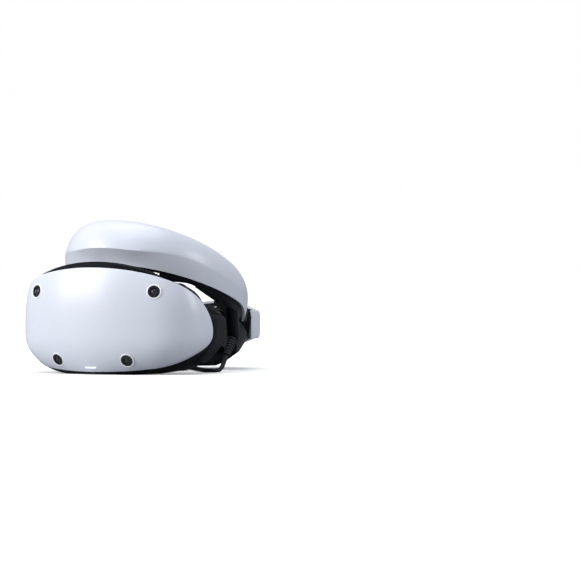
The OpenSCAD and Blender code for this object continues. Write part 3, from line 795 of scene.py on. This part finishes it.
    def build_mid_frame(self) -> None:
        """The black band of the body behind the cover, with the dial's slot."""
        def place(u: float, v: float) -> Vector:
            """Point of the frame's outer face."""
            d = self.frame_from + self.frame_run * v
            shoulder = 0.35 * smooth(2 * math.sin(math.tau * u)) * smooth(3 * v)
            return self.outline(d, math.tau * u, lookup(d, self.frame_w),
                                lookup(d, self.frame_top), 3.2 - shoulder)

        shell = add_skin("visor_mid_frame", 176, 20, place)
        weld(shell, ends=False)
        face_out(shell, seat(0, 44, 50))
        thicken(shell, 2.0)
        slot = add_disc("slot", 14.1, 8, at(69.5, 54, 77), 64)
        keys = [add_disc("key", r, 8, Matrix.Translation(seat(x, 46, -1))
                         @ Matrix.Rotation(math.radians(90), 4, "X"), 40)
                for x, r in ((-14, 4.3), (14, 3.3))]
        cut(shell, slot, *keys)
        soften(shell, 0.4, 2, 50)
        shade(shell, 35)
        settle(shell, BLACK, self.body, "mid_frame")

    def build_vent_fins(self) -> None:
        """A row of short fins along the upper grille."""
        deselect()
        bpy.ops.mesh.primitive_cube_add(size=1.0)
        fin = bpy.context.object
        fin.data.transform(Matrix.Diagonal((0.9 * MM, 9.0 * MM, 1.4 * MM, 1)))
        soften(fin, 0.25, 2, 30)
        copies = []
        for i in range(-self.fins_a_side, self.fins_a_side + 1):
            q = i * self.fin_step
            x, d, turn = self.plan(q)
            side = math.copysign(1.0, q) if i else 0.0
            share = (self.half_arc * abs(math.sin(math.radians(q))) / 85) ** 2
            a = math.radians(turn)
            k = self.fin_setback - 4.5 * share
            twin = fin.copy()
            twin.data = fin.data.copy()
            bpy.context.collection.objects.link(twin)
            z = self.height(q, 1) + 5.5 * (1 - share) - 0.35
            twin.data.transform(at(side * (x - math.sin(a) * k), d + math.cos(a) * k, z)
                                @ Matrix.Rotation(side * a, 4, "Z"))
            copies.append(twin)
        bpy.data.objects.remove(fin)
        deselect()
        for twin in copies:
            twin.select_set(True)
        bpy.context.view_layer.objects.active = copies[0]
        bpy.ops.object.join()
        copies[0].name = "vent_fins"
        shade(copies[0], 35)
        settle(copies[0], BLACK, self.body)

    def shield_edge(self, angle: float) -> float:
        """Depth of the light shield's rear edge, shaped to the brow and the nose.

        Args:
            angle: place round the shield, in radians.

        Returns:
            The depth in millimetres.
        """
        c, s = power(math.cos(angle), 0.8), power(math.sin(angle), 0.8)
        x = 96.5 * c
        brow = 190 - math.sqrt(max(0.0, 95.0 ** 2 - x * x))
        edge = min(112.0, brow)
        if s < 0:
            edge -= (edge - 83) * (1 - smooth((abs(x) - 12) / 10))
        return edge

    def shield_point(self, angle: float, d: float, inset: float = 0.0) -> Vector:
        """Point of the light shield, with two shallow folds near its root.

        Args:
            angle: place round the shield, in radians.
            d: depth.
            inset: how far inside its outer face.

        Returns:
            The point in metres.
        """
        fold = sum(1.2 * math.exp(-((d - fold_d) / 2.3) ** 2) for fold_d in (72.0, 80.0))
        sharp = 2.5 - 0.9 * smooth(2 * math.sin(angle)) * smooth((d - 66) / 12)
        return self.outline(d, angle, lookup(d, self.shield_w), lookup(d, self.shield_top), sharp,
                            inset + fold)

    def build_shield(self) -> None:
        """The soft light shield and the bead along its edge."""
        root, steps = self.shield_from, 168

        def place(u: float, v: float) -> Vector:
            """Point of the shield between its root and its edge."""
            a = math.tau * u
            return self.shield_point(a, root + (self.shield_edge(a) - root) * v)

        shield = add_skin("light_shield_skirt", steps, 34, place)
        weld(shield, ends=False)
        face_out(shield, seat(0, 88, 50))
        thicken(shield, 1.8)
        soften(shield, 0.5, 3, 60)
        shade(shield, 45)
        settle(shield, SILICONE, self.body, "light_shield")
        rim = []
        for a in (math.tau * i / steps for i in range(steps)):
            lift = 1.4 * MM if math.sin(a) < -0.6 else 0.0
            rim.append(self.shield_point(a, self.shield_edge(a) - 1, 1.6) + Vector((0, 0, lift)))
        settle(tube_along("light_shield_bead", rim, 1.5, True, 10), SILICONE, self.body)

    def build(self) -> None:
        """All of the visor."""
        self.build_cover()
        self.build_camera_rims()
        self.build_camera_barrels()
        self.build_mid_frame()
        self.build_vent_fins()
        self.build_shield()


# ---- headband ----
@dataclass
class Headband:
    """The rigid white band with its liners and trim strips."""

    x_r: float = 88.0
    front_r: float = 121.0
    rear_r: float = 107.0
    end: float = 130.0
    wall: float = 2.5
    body: str = "headband"

    def point(self, th: float, inset: float, h: float) -> Vector:
        """Point of the ring at an angle, an inset and a height, in metres.

        Args:
            th: angle from the front, in degrees.
            inset: how far inside the widest line.
            h: height over the ring.

        Returns:
            The point.
        """
        a = math.radians(th)
        b = self.front_r if math.cos(a) > 0 else self.rear_r
        nx, ny = math.sin(a) / self.x_r, -math.cos(a) / b
        size = math.hypot(nx, ny)
        return tilted(self.x_r * math.sin(a) - inset * nx / size,
                      -b * math.cos(a) - inset * ny / size, h)

    def mid(self, t: float) -> float:
        """Height of the band's widest line."""
        return 5 - 11 * t ** 3

    def low_inset(self, t: float) -> float:
        """How far the band's lower edge tucks in."""
        return 1 + 11 * (1 - t) ** 2

    def shell_place(self, u: float, v: float) -> Vector:
        """Point of the band's outer skin, from its top edge to its lower edge.

        Args:
            u: share of the way along, 0 to 1.
            v: share of the way across, 0 to 1.

        Returns:
            The point in metres.
        """
        th = -self.end + 2 * self.end * u
        t = abs(th) / self.end
        top = 30.5 - 26 * t ** 3.2
        low = -18 + 9.5 * t ** 1.5 - 8.5 * max(0.0, (t - 0.8) / 0.2) ** 2
        top_in = 2.5 + 13.5 * max(0.0, 1 - t * t) ** 1.5
        brow = smooth((0.48 - t) / 0.36)
        mid = self.mid(t) - 9 * brow
        if v < 0.5:
            a = math.radians(90 * (1 - 2 * v))
            return self.point(th, top_in * (1 - math.cos(a)), mid + (top - mid) * math.sin(a))
        q = 2 * v - 1
        tuck = q ** 1.3 + (1 - (1 - q) ** 1.7 - q ** 1.3) * brow
        return self.point(th, self.low_inset(t) * tuck, mid + (low - mid) * q)

    def build_shell(self) -> None:
        """The white outer shell."""
        shell = add_skin("band_outer_shell", 190, 44, self.shell_place)
        face_out(shell, tilted(0, 0, 5))
        thicken(shell, self.wall)
        soften(shell, 0.9, 3, 55)
        shade(shell, 40)
        settle(shell, WHITE, self.body, "band_shell")

    def liner_place(self, side: int, u: float, v: float) -> Vector:
        """Point of an arm's liner; v runs round its six-sided section.

        Args:
            side: 1 for the left arm, -1 for the right.
            u: share of the way along, 0 to 1.
            v: share of the way across, 0 to 1.

        Returns:
            The point in metres.
        """
        th = 43.5 + 72.5 * u
        t = th / self.end
        o = self.low_inset(t) + self.wall + 0.5
        i, top = o + 9, self.mid(t) - 3
        low = -22 + 5.5 * smooth((th - 46) / 20) * smooth((98 - th) / 20)
        section = ((o + 1.2, low), (o, low + 2.4), (o, top), (i, top), (i, low + 2.4),
                   (i - 1.2, low))
        inset, h = section[round(v * 6) % 6]
        return self.point(side * th, inset, h)

    def build_liners(self) -> None:
        """The dark liners inside both arms, with the socket's opening."""
        for side, name in ((1, "liner_left"), (-1, "liner_right")):
            liner = add_skin(f"arm_{name}", 60, 6, lambda u, v, s=side: self.liner_place(s, u, v))
            weld(liner)
            soften(liner, 0.8, 3, 30)
            if side < 0:
                centre = self.point(-96, 11.2, -22)
                axis = (self.point(-96, 11.2, -10) - centre).normalized()
                turn = Vector((0, 1, 0)).rotation_difference(axis).to_matrix().to_4x4()
                cut(liner, add_disc("socket_hole", 3.5, 20,
                                    Matrix.Translation(centre - axis * 2 * MM) @ turn, 40))
            shade(liner, 38)
            settle(liner, BLACK, self.body, name)

    def build_trim(self) -> None:
        """Dark strips that join each liner to the forehead frame."""
        for side, name in ((1, "left"), (-1, "right")):
            strip = add_skin(f"band_trim_{name}", 14, 4, lambda u, v, s=side: self.point(
                s * (33 + 11.5 * u), self.low_inset((33 + 11.5 * u) / self.end) + self.wall + 1,
                -17.5 + 12 * v))
            face_out(strip, tilted(0, 0, 5))
            thicken(strip, 2.0)
            soften(strip, 0.4, 2, 50)
            shade(strip, 40)
            settle(strip, BLACK, self.body)

    def build(self) -> None:
        """All of the band."""
        self.build_shell()
        self.build_liners()
        self.build_trim()


# ---- pads ----
@dataclass
class PadMaker:
    """Stuffs a padded piece from the space that its CAD solid holds."""

    voxel: float = 4.5
    shrink: float = 0.9
    cap: float = 2.2
    pressure: float = 4.0
    frames: int = 20

    def stuff(self, name: str, node: str) -> bpy.types.Object:
        """Swells a copy of a CAD node under pressure.

        Args:
            name: the new piece's name.
            node: the CAD node whose space it fills.

        Returns:
            The stuffed mesh, with no simulation left on it.
        """
        pad = frame["nodes"][node].copy()
        pad.data = frame["nodes"][node].data.copy()
        pad.parent = None
        pad.hide_render = pad.hide_viewport = False
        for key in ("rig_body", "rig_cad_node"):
            del pad[key]
        pad.name = name
        bpy.context.collection.objects.link(pad)
        with editing(pad):
            bpy.ops.mesh.remove_doubles(threshold=1e-5)
            bpy.ops.mesh.normals_make_consistent(inside=False)
        apply_modifier(pad, "REMESH", mode="VOXEL", voxel_size=self.voxel * MM)
        apply_modifier(pad, "DISPLACE", strength=-self.shrink * MM, mid_level=0.0)
        self.swell(pad)
        apply_modifier(pad, "SMOOTH", factor=0.5, iterations=3)
        apply_modifier(pad, "SUBSURF", levels=1, render_levels=1)
        shade(pad, 80)
        return pad

    def swell(self, pad: bpy.types.Object) -> None:
        """Runs the cloth under pressure and caps how far each point moves.

        Args:
            pad: the remeshed pad.
        """
        start = [v.co.copy() for v in pad.data.vertices]
        cloth = pad.modifiers.new("stuffing", "CLOTH")
        cloth.settings.use_pressure = True
        cloth.settings.uniform_pressure_force = self.pressure
        cloth.settings.effector_weights.gravity = 0.0
        cloth.settings.quality = 5
        scene = bpy.context.scene
        for number in range(1, self.frames + 1):
            scene.frame_set(number)
        solved = pad.evaluated_get(bpy.context.evaluated_depsgraph_get())
        moved = [v.co.copy() for v in solved.data.vertices]
        pad.modifiers.remove(cloth)
        scene.frame_set(1)
        for vertex, old, new in zip(pad.data.vertices, start, moved):
            step = new - old
            limit = self.cap * MM
            vertex.co = old + (step * (limit / step.length) if step.length > limit else step)

    def piping(self, name: str, pad: bpy.types.Object, path: Sequence[Vector]) -> bpy.types.Object:
        """A sewn bead that follows a closed path over the pad's surface.

        Args:
            name: the bead's name.
            pad: the stuffed pad.
            path: points near its surface.

        Returns:
            The bead.
        """
        laid = [pad.closest_point_on_mesh(p)[1] for p in path]
        return tube_along(name, laid, 0.75, True, 8)


def loop_round(corner: Callable[[float, float], Vector], side: int, end: int) -> list[Vector]:
    """Points round a rectangle in two parameters from 0 to 1.

    Args:
        corner: the point for two parameters.
        side: steps along each long side.
        end: steps along each short side.

    Returns:
        The closed path.
    """
    path = [corner(i / side, 0.0) for i in range(side)]
    path += [corner(1.0, i / end) for i in range(end)]
    path += [corner(1 - i / side, 1.0) for i in range(side)]
    return path + [corner(0.0, 1 - i / end) for i in range(end)]


# ---- rear unit ----
@dataclass
class RearUnit:
    """The cradle, its white casing, the fit dial and its button; its shape also guides the rear
    pad's piping.
    """

    square: float = 2 / 2.4
    cradle_a: Table = ((3, 50), (9, 57), (19, 68), (31, 73), (40, 75), (64, 78))
    cradle_b: Table = ((3, 74), (9, 84), (19, 103), (31, 115), (40, 118), (64, 126))
    cradle_floor: Table = ((0, 3), (30, 4), (55, 12), (70, 24), (80, 34))
    casing_a: float = 82.0
    casing_b: float = 138.0
    casing_lip: float = 0.918
    dial_z: float = 47.0
    dial_r: float = 20.0
    body: str = "rear_unit"

    def round_place(self, ph: float, a: float, b: float, z: float) -> Vector:
        """Point of an upright section round the back of the head.

        Args:
            ph: angle from the rear, in degrees.
            a: half its width.
            b: its reach.
            z: height.

        Returns:
            The point in metres.
        """
        r = math.radians(ph)
        return seat(a * power(math.sin(r), self.square),
                    RING_D + b * power(math.cos(r), self.square), z)

    def cradle_top(self, ph: float) -> float:
        """Height of the cradle's upper edge.

        Args:
            ph: angle from the rear, in degrees.

        Returns:
            The height in millimetres.
        """
        if abs(ph) < 52:
            return 62.0
        depth = RING_D + 124 * power(math.cos(math.radians(ph)), self.square)
        return min(62.0, 66 - 0.354 * (depth - 130))

    def cradle_place(self, u: float, v: float) -> Vector:
        """Point of the cradle's outer face.

        Args:
            u: share of the way along, 0 to 1.
            v: share of the way across, 0 to 1.

        Returns:
            The point in metres.
        """
        ph = -80 + 160 * u
        low = lookup(abs(ph), self.cradle_floor)
        z = low + (self.cradle_top(ph) - low) * v
        return self.round_place(ph, lookup(z, self.cradle_a), lookup(z, self.cradle_b), z)

    def casing_place(self, u: float, v: float) -> Vector:
        """Point of the casing's outer face, with rounded upper and lower lips.

        Args:
            u: share of the way along, 0 to 1.
            v: share of the way across, 0 to 1.

        Returns:
            The point in metres.
        """
        ph = -54 + 108 * u
        swell = max(0.0, math.cos(math.radians(2.2 * ph))) ** 2
        high, low = 62 + 9 * swell, 32 - 9 * swell
        a = math.radians(-90 + 180 * v)
        end = math.sqrt(max(0.0, 1 - max(0.0, (abs(ph) - 49) / 5) ** 2))
        k = self.casing_lip + (1 - self.casing_lip) * power(math.cos(a), 1 / 3) * end
        z = (high + low) / 2 + (high - low) / 2 * power(math.sin(a), 1 / 3)
        return self.round_place(ph, self.casing_a * k, self.casing_b * k, z)

    def build_cradle(self) -> None:
        """The dark cradle that carries the rear pad."""
        cradle = add_skin("rear_cradle", 160, 36, self.cradle_place)
        face_out(cradle, seat(0, RING_D, 45))
        thicken(cradle, 4.8)
        soften(cradle, 1.0, 3, 50)
        shade(cradle, 42)
        settle(cradle, BLACK, self.body, "rear_frame")

    def build_casing(self) -> None:
        """The white casing round the dial."""
        casing = add_skin("rear_outer_casing", 96, 40, self.casing_place)
        face_out(casing, seat(0, RING_D, self.dial_z))
        thicken(casing, 2.6)
        cut(casing, add_disc("dial_hole", self.dial_r + 0.5, 40, at(0, 255, self.dial_z), 96))
        soften(casing, 0.6, 3, 55)
        shade(casing, 36)
        settle(casing, WHITE, self.body, "rear_casing")

    def build_dial(self) -> None:
        """The fit dial, with a fluted grip and a dished face."""
        back, front, flutes = 273.0, 284.0, 40
        steps = flutes * 6
        rows = ((7.3, back - 9), (9.5, back - 9), (9.5, back), (18.6, back), (19.9, back + 1.0),
                (20.0, back + 2.0), (20.0, front - 2.0), (19.2, front - 0.4), (17.6, front),
                (12.6, front - 0.2), (11.6, front - 1.5), (8.2, front - 1.5), (7.3, front - 1.7),
                (7.3, back - 9))

        def place(u: float, v: float) -> Vector:
            """Point of the dial's fluted section."""
            r, d = rows[round(v * (len(rows) - 1))]
            a = math.tau * u
            grip = 0.55 * (0.5 + 0.5 * math.cos(flutes * a)) if r > 19 else 0.0
            return seat((r - grip) * math.cos(a), d, self.dial_z + (r - grip) * math.sin(a))

        dial = add_skin("fit_dial_grip", steps, len(rows) - 1, place)
        weld(dial, ends=False)
        shade(dial, 30)
        settle(dial, DARK, "fit_dial", "rear_dial")

    def build_button(self) -> None:
        """The dished release button in the dial."""
        front, back = 283.4, 269.5
        rows = ((0.02, back), (6.4, back), (7.0, back + 0.6), (7.0, front - 1.2),
                (6.5, front - 0.3), (5.6, front), (3.5, front - 0.5), (1.5, front - 0.8),
                (0.02, front - 0.85))

        def place(u: float, v: float) -> Vector:
            """Point of the button's turned section."""
            r, d = rows[round(v * (len(rows) - 1))]
            return seat(r * math.cos(math.tau * u), d, self.dial_z + r * math.sin(math.tau * u))

        key = add_skin("release_key_cap", 72, len(rows) - 1, place)
        weld(key)
        shade(key, 35)
        settle(key, DARK, "release_key", "release_button")

    def build(self) -> None:
        """All of the rear unit but its pad."""
        self.build_cradle()
        self.build_casing()
        self.build_dial()
        self.build_button()


def build_pads(band: Headband, rear: RearUnit) -> None:
    """The forehead pad and the rear pad, each with piping round its face.

    Args:
        band: the headband; not used.
        rear: the rear unit.
    """
    maker = PadMaker()
    brow = maker.stuff("forehead_cushion", "forehead_pad")
    settle(brow, PAD, "headband", "forehead_pad")

    def brow_face(u: float, v: float) -> Vector:
        """Point near the forehead pad's face."""
        a = math.radians(-52 + 104 * u)
        return tilted(66 * math.sin(a), -59 * math.cos(a), 0 + 21 * v)

    settle(maker.piping("forehead_piping", brow, loop_round(brow_face, 60, 12)), PAD, "headband")
    nape = maker.stuff("rear_cushion", "rear_pad")
    settle(nape, PAD, "rear_unit", "rear_pad")

    def nape_face(u: float, v: float) -> Vector:
        """Point near the rear pad's face."""
        ph, z = -44 + 88 * u, 24 + 32 * v
        return rear.round_place(ph, lookup(z, rear.cradle_a) - 22, lookup(z, rear.cradle_b) - 24, z)

    settle(maker.piping("rear_piping", nape, loop_round(nape_face, 60, 16)), PAD, "rear_unit")


# ---- lead ----
@dataclass
class Lead:
    """The free lead: its run to the floor, its coil, tie and plug."""

    diameter: float = 4.6
    coil_centre: tuple[float, float] = (-18.0, 150.0)
    pitch: float = 4.68
    inner_r: float = 16.3
    outer_r: float = 39.7
    layers: int = 4
    steps: int = 30
    route: Sequence[tuple[float, float, float]] = (
        (80, 137, 17), (80, 134, 13), (80, 131, 9), (80, 127.5, 5.2), (79.6, 123, 2.8),
        (77.5, 118.4, 2.4), (72.6, 115.8, 2.4), (67.4, 117, 2.4), (63, 120.6, 2.4),
        (57.6, 127, 2.4), (51.6, 134, 2.4), (45.6, 141, 2.4), (39.6, 148.4, 2.4),
        (33.6, 156, 2.4), (27.4, 164, 2.4))
    plug_at: tuple[float, float, float] = (-18.0, 128.0, 19.15)
    plug_turn: float = 25.0
    body: str = "headband"
    far_z: float = 21.5

    def coil_point(self, angle: float, r: float, z: float) -> tuple[float, float, float]:
        """Point of the coil at an angle in degrees."""
        a = math.radians(angle)
        return (self.coil_centre[0] + r * math.cos(a), self.coil_centre[1] + r * math.sin(a), z)

    def line(self) -> list[Vector]:
        """The lead's whole middle line, from its relief to its plug."""
        points = list(self.route)
        turn = 360.0 / self.steps
        angle, z, r = 30.0, 2.45, 44.3
        points.append(self.coil_point(angle, r, z))
        while r > self.outer_r:
            angle, r = angle + turn, max(self.outer_r, r - self.pitch * 1.5 / self.steps)
            points.append(self.coil_point(angle, r, z))
        turns = round((self.outer_r - self.inner_r) / self.pitch)
        for layer in range(self.layers):
            inward = layer % 2 == 0
            begin, stop = (self.outer_r, self.inner_r) if inward else (self.inner_r, self.outer_r)
            for i in range(1, turns * self.steps + 1):
                angle += turn
                share = i / (turns * self.steps)
                points.append(self.coil_point(angle, begin + (stop - begin) * share, z))
            rise = self.far_z - z if layer == self.layers - 1 else self.pitch + 0.02
            ramp = 6 if inward else 8
            for i in range(1, ramp + 1):
                angle += turn
                points.append(self.coil_point(angle, stop, z + rise * smooth(i / ramp)))
            z += rise
        return [seat(*p) for p in points + self.tail(angle)]

    def tail(self, angle: float) -> list[tuple[float, float, float]]:
        """The last run over the coil's top into the plug.

        Args:
            angle: where the coil's last layer ends, in degrees.

        Returns:
            Points in millimetres.
        """
        a = math.radians(self.plug_turn)
        back = (self.plug_at[0] - 14 * math.cos(a), self.plug_at[1] - 14 * math.sin(a))
        aim = math.degrees(math.atan2(back[1] - self.coil_centre[1], back[0] - self.coil_centre[0]))
        meet = aim - 34
        while meet < angle + 60:
            meet += 360
        count = max(10, round((meet - angle) / 12))
        run = [self.coil_point(angle + (meet - angle) * i / count,
                               self.outer_r - 4.5 * smooth(i / count), self.far_z)
               for i in range(1, count + 1)]
        start, first = Vector(run[-1]), Vector(run[-1]) - Vector(run[-2])
        goal = Vector((back[0], back[1], self.plug_at[2] + 3.2))
        pull = (goal - start).length * 0.5
        p1 = start + first.normalized() * pull
        p2 = goal - Vector((math.cos(a), math.sin(a), 0)) * pull
        for i in range(1, 11):
            t = i / 10
            p = (start * (1 - t) ** 3 + p1 * 3 * t * (1 - t) ** 2 + p2 * 3 * t * t * (1 - t)
                 + goal * t ** 3)
            run.append(tuple(p))
        return run

    def build_cord(self) -> None:
        """The lead as one curve.
        """
        path = self.line()
        data = bpy.data.curves.new("lead", "CURVE")
        data.dimensions = "3D"
        spline = data.splines.new("POLY")
        spline.points.add(len(path) - 1)
        for point, place in zip(spline.points, path):
            point.co = (*place, 1.0)
        data.bevel_depth = self.diameter / 2 * MM
        data.bevel_resolution = 4
        data.use_fill_caps = True
        spline.use_smooth = True
        lead = bpy.data.objects.new("lead", data)
        bpy.context.collection.objects.link(lead)
        settle(lead, JACKET, self.body, "usb_cable", "cable_coil")
        tuple(seat(*self.route[0]))

    def build_tie(self) -> bpy.types.Object:
        """The soft tie that holds the coil."""
        low, high, near, far = 0.1, 20.2, 12.7, 42.7

        def path(u: float) -> tuple[float, float]:
            """Reach and height of the loop that the tie follows."""
            a = math.tau * u
            r = (near + far) / 2 + (far - near) / 2 * power(math.cos(a), 2 / 7)
            return r, (low + high) / 2 + (high - low) / 2 * power(math.sin(a), 2 / 7)

        turn = math.radians(200)

        def place(u: float, v: float) -> Vector:
            """Point of the tie, across its width."""
            r, z = path(u)
            side = (v - 0.5) * 8
            x = self.coil_centre[0] + r * math.cos(turn) - side * math.sin(turn)
            d = self.coil_centre[1] + r * math.sin(turn) + side * math.cos(turn)
            return seat(x, d, z)

        tie = add_skin("lead_tie", 96, 6, place)
        weld(tie, ends=False)
        face_out(tie, seat(*self.coil_point(200, 27.7, 10)))
        thicken(tie, 0.8)
        soften(tie, 0.25, 2, 50)
        shade(tie, 40)
        return settle(tie, SILICONE, self.body, "cable_tie")

    def build_plug(self) -> bpy.types.Object:
        """The plug's moulded body, its rounded metal shell and its grip grooves."""
        place = (Matrix.Translation(seat(*self.plug_at))
                 @ Matrix.Rotation(math.radians(self.plug_turn), 4, "Z"))
        deselect()
        bpy.ops.mesh.primitive_cube_add(size=1.0)
        grip = bpy.context.object
        grip.name = "plug_grip"
        grip.data.transform(Matrix.Translation((-2 * MM, 0, 3.2 * MM))
                            @ Matrix.Diagonal((24 * MM, 11 * MM, 6.4 * MM, 1)))
        apply_modifier(grip, "BEVEL", width=1.8 * MM, segments=4, limit_method="ANGLE",
                       angle_limit=math.radians(30))
        grooves = []
        for i in range(4):
            deselect()
            bpy.ops.mesh.primitive_cube_add(size=1.0)
            groove = bpy.context.object
            groove.data.transform(Matrix.Translation(((-11 + 2.4 * i) * MM, 0, 6.5 * MM))
                                  @ Matrix.Diagonal((0.8 * MM, 7 * MM, 0.9 * MM, 1)))
            grooves.append(groove)
        cut(grip, *grooves)
        grip.data.transform(place)
        shade(grip, 35)
        settle(grip, DARK, self.body, "usb_plug")

        def shell_place(u: float, v: float) -> Vector:
            """Point of the plug's metal shell."""
            a = math.tau * u
            y, z = 4.2 * power(math.cos(a), 2 / 3.5), 1.3 * power(math.sin(a), 2 / 3.5)
            return place @ (Vector((10 + 7 * v, y, 3.2 + z)) * MM)

        shell = add_skin("plug_shell", 48, 6, shell_place)
        weld(shell, ends=False)
        face_out(shell, place @ (Vector((13.5, 0, 3.2)) * MM))
        thicken(shell, 0.5)
        shade(shell, 40)
        settle(shell, STEEL, self.body)
        shell.parent = grip.parent
        return grip

    def build(self) -> None:
        """The lead and what is on it."""
        tie, grip = self.build_tie(), self.build_plug()
        self.build_cord()


# ---- studio ----
@dataclass
class Studio:
    """Pale floor, soft light and the camera."""

    place: tuple[float, float, float] = (1.648, -2.779, 0.108)
    pan: float = 28.32
    pitch: float = -0.446
    lens: float = 195.4

    def build_floor(self) -> None:
        """A plain pale floor."""
        deselect()
        bpy.ops.mesh.primitive_plane_add(size=60.0)
        floor = bpy.context.object
        floor.name = "studio_floor"
        with editing(floor):
            bpy.ops.mesh.subdivide(number_cuts=4)
        floor.data.materials.append(self.floor_with_painted_glow())

    def floor_with_painted_glow(self) -> bpy.types.Material:
        """Pale matt floor whose painted glow brightens it away from the object, leaving painted
        shade near it; it throws back less light.
        """
        paint = bpy.data.materials.new("studio_floor_painted_glow")
        paint.use_nodes = True
        tree = paint.node_tree
        link, make = tree.links.new, tree.nodes.new
        tree.nodes.remove(tree.nodes["Principled BSDF"])
        coord, reach, painted_glow_ramp = make("ShaderNodeTexCoord"), make("ShaderNodeVectorMath"), make(
            "ShaderNodeMapRange")
        reach.operation = "LENGTH"
        # Painted glow: strength 0.3 next to the headset, a painted shade round it, rising to 1.0
        # far off.
        for label, value in (("From Min", 0.16), ("From Max", 0.9), ("To Min", 0.3),
                             ("To Max", 1.0)):
            painted_glow_ramp.inputs[label].default_value = value
        glow, matt, dim = (make("ShaderNodeEmission"), make("ShaderNodeBsdfDiffuse"),
                           make("ShaderNodeBsdfDiffuse"))
        matt.inputs["Color"].default_value = (0.9, 0.9, 0.91, 1.0)
        dim.inputs["Color"].default_value = (0.36, 0.37, 0.39, 1.0)
        total, ray, pick = (make("ShaderNodeAddShader"), make("ShaderNodeLightPath"),
                            make("ShaderNodeMixShader"))
        link(coord.outputs["Object"], reach.inputs[0])
        link(reach.outputs["Value"], painted_glow_ramp.inputs["Value"])
        link(painted_glow_ramp.outputs["Result"], glow.inputs["Strength"])
        link(glow.outputs[0], total.inputs[0])
        link(matt.outputs[0], total.inputs[1])
        link(ray.outputs["Is Camera Ray"], pick.inputs["Fac"])
        link(dim.outputs[0], pick.inputs[1])
        link(total.outputs[0], pick.inputs[2])
        link(pick.outputs[0], tree.nodes["Material Output"].inputs["Surface"])
        return paint

    def add_lamp(self, name: str, at_place: tuple[float, float, float], size: float, power_w: float,
                 colour: tuple[float, float, float]) -> None:
        """A soft square lamp aimed at the headset.

        Args:
            name: the lamp's name.
            at_place: its place in metres.
            size: its side in metres.
            power_w: its power.
            colour: its light's colour.
        """
        lamp = bpy.data.lights.new(name, "AREA")
        lamp.size, lamp.energy, lamp.color = size, power_w, colour
        holder = bpy.data.objects.new(name, lamp)
        holder.location = at_place
        holder.rotation_euler = (Vector((0, 0, 0.07)) - Vector(at_place)).to_track_quat(
            "-Z", "Y").to_euler()
        bpy.context.collection.objects.link(holder)

    def build_world(self) -> None:
        """White surroundings, a little dimmer as a light than as a backdrop."""
        world = bpy.data.worlds.new("studio_world")
        world.use_nodes = True
        tree = world.node_tree
        sky = tree.nodes["Background"]
        sky.inputs["Color"].default_value = (0.92, 0.95, 1.0, 1.0)
        sky.inputs["Strength"].default_value = 0.42
        seen = tree.nodes.new("ShaderNodeBackground")
        seen.inputs["Color"].default_value = (1.0, 1.0, 1.0, 1.0)
        ray, blend = tree.nodes.new("ShaderNodeLightPath"), tree.nodes.new("ShaderNodeMixShader")
        tree.links.new(ray.outputs["Is Camera Ray"], blend.inputs["Fac"])
        tree.links.new(sky.outputs["Background"], blend.inputs[1])
        tree.links.new(seen.outputs["Background"], blend.inputs[2])
        tree.links.new(blend.outputs["Shader"], tree.nodes["World Output"].inputs["Surface"])
        bpy.context.scene.world = world

    def build(self) -> None:
        """Floor, lamps, surroundings and camera."""
        self.build_floor()
        self.build_world()
        self.add_lamp("key_lamp", (-1.1, -1.5, 0.8), 1.1, 33.0, (1.0, 0.99, 0.98))
        self.add_lamp("top_lamp", (0.2, -0.2, 1.7), 1.5, 20.0, (0.97, 0.98, 1.0))
        self.add_lamp("side_lamp", (1.9, 0.6, 0.7), 0.7, 9.0, (0.97, 0.98, 1.0))
        data = bpy.data.cameras.new("view")
        data.lens, data.sensor_width = self.lens, 36.0
        data.clip_end = 100.0
        camera = bpy.data.objects.new("view", data)
        camera.location = self.place
        camera.rotation_euler = (math.radians(90 + self.pitch), 0, math.radians(self.pan))
        bpy.context.collection.objects.link(camera)
        bpy.context.scene.camera = camera
        bpy.context.scene.view_settings.view_transform = "Standard"


def main() -> None:
    """Builds the headset and its studio."""
    logging.basicConfig(level=logging.INFO, format="%(name)s: %(message)s")
    Studio().build()
    dress_frame()
    Lead().build()
    Visor().build()
    band, rear = Headband(), RearUnit()
    band.build()
    rear.build()
    build_pads(band, rear)


if __name__ == "__main__":
    main()
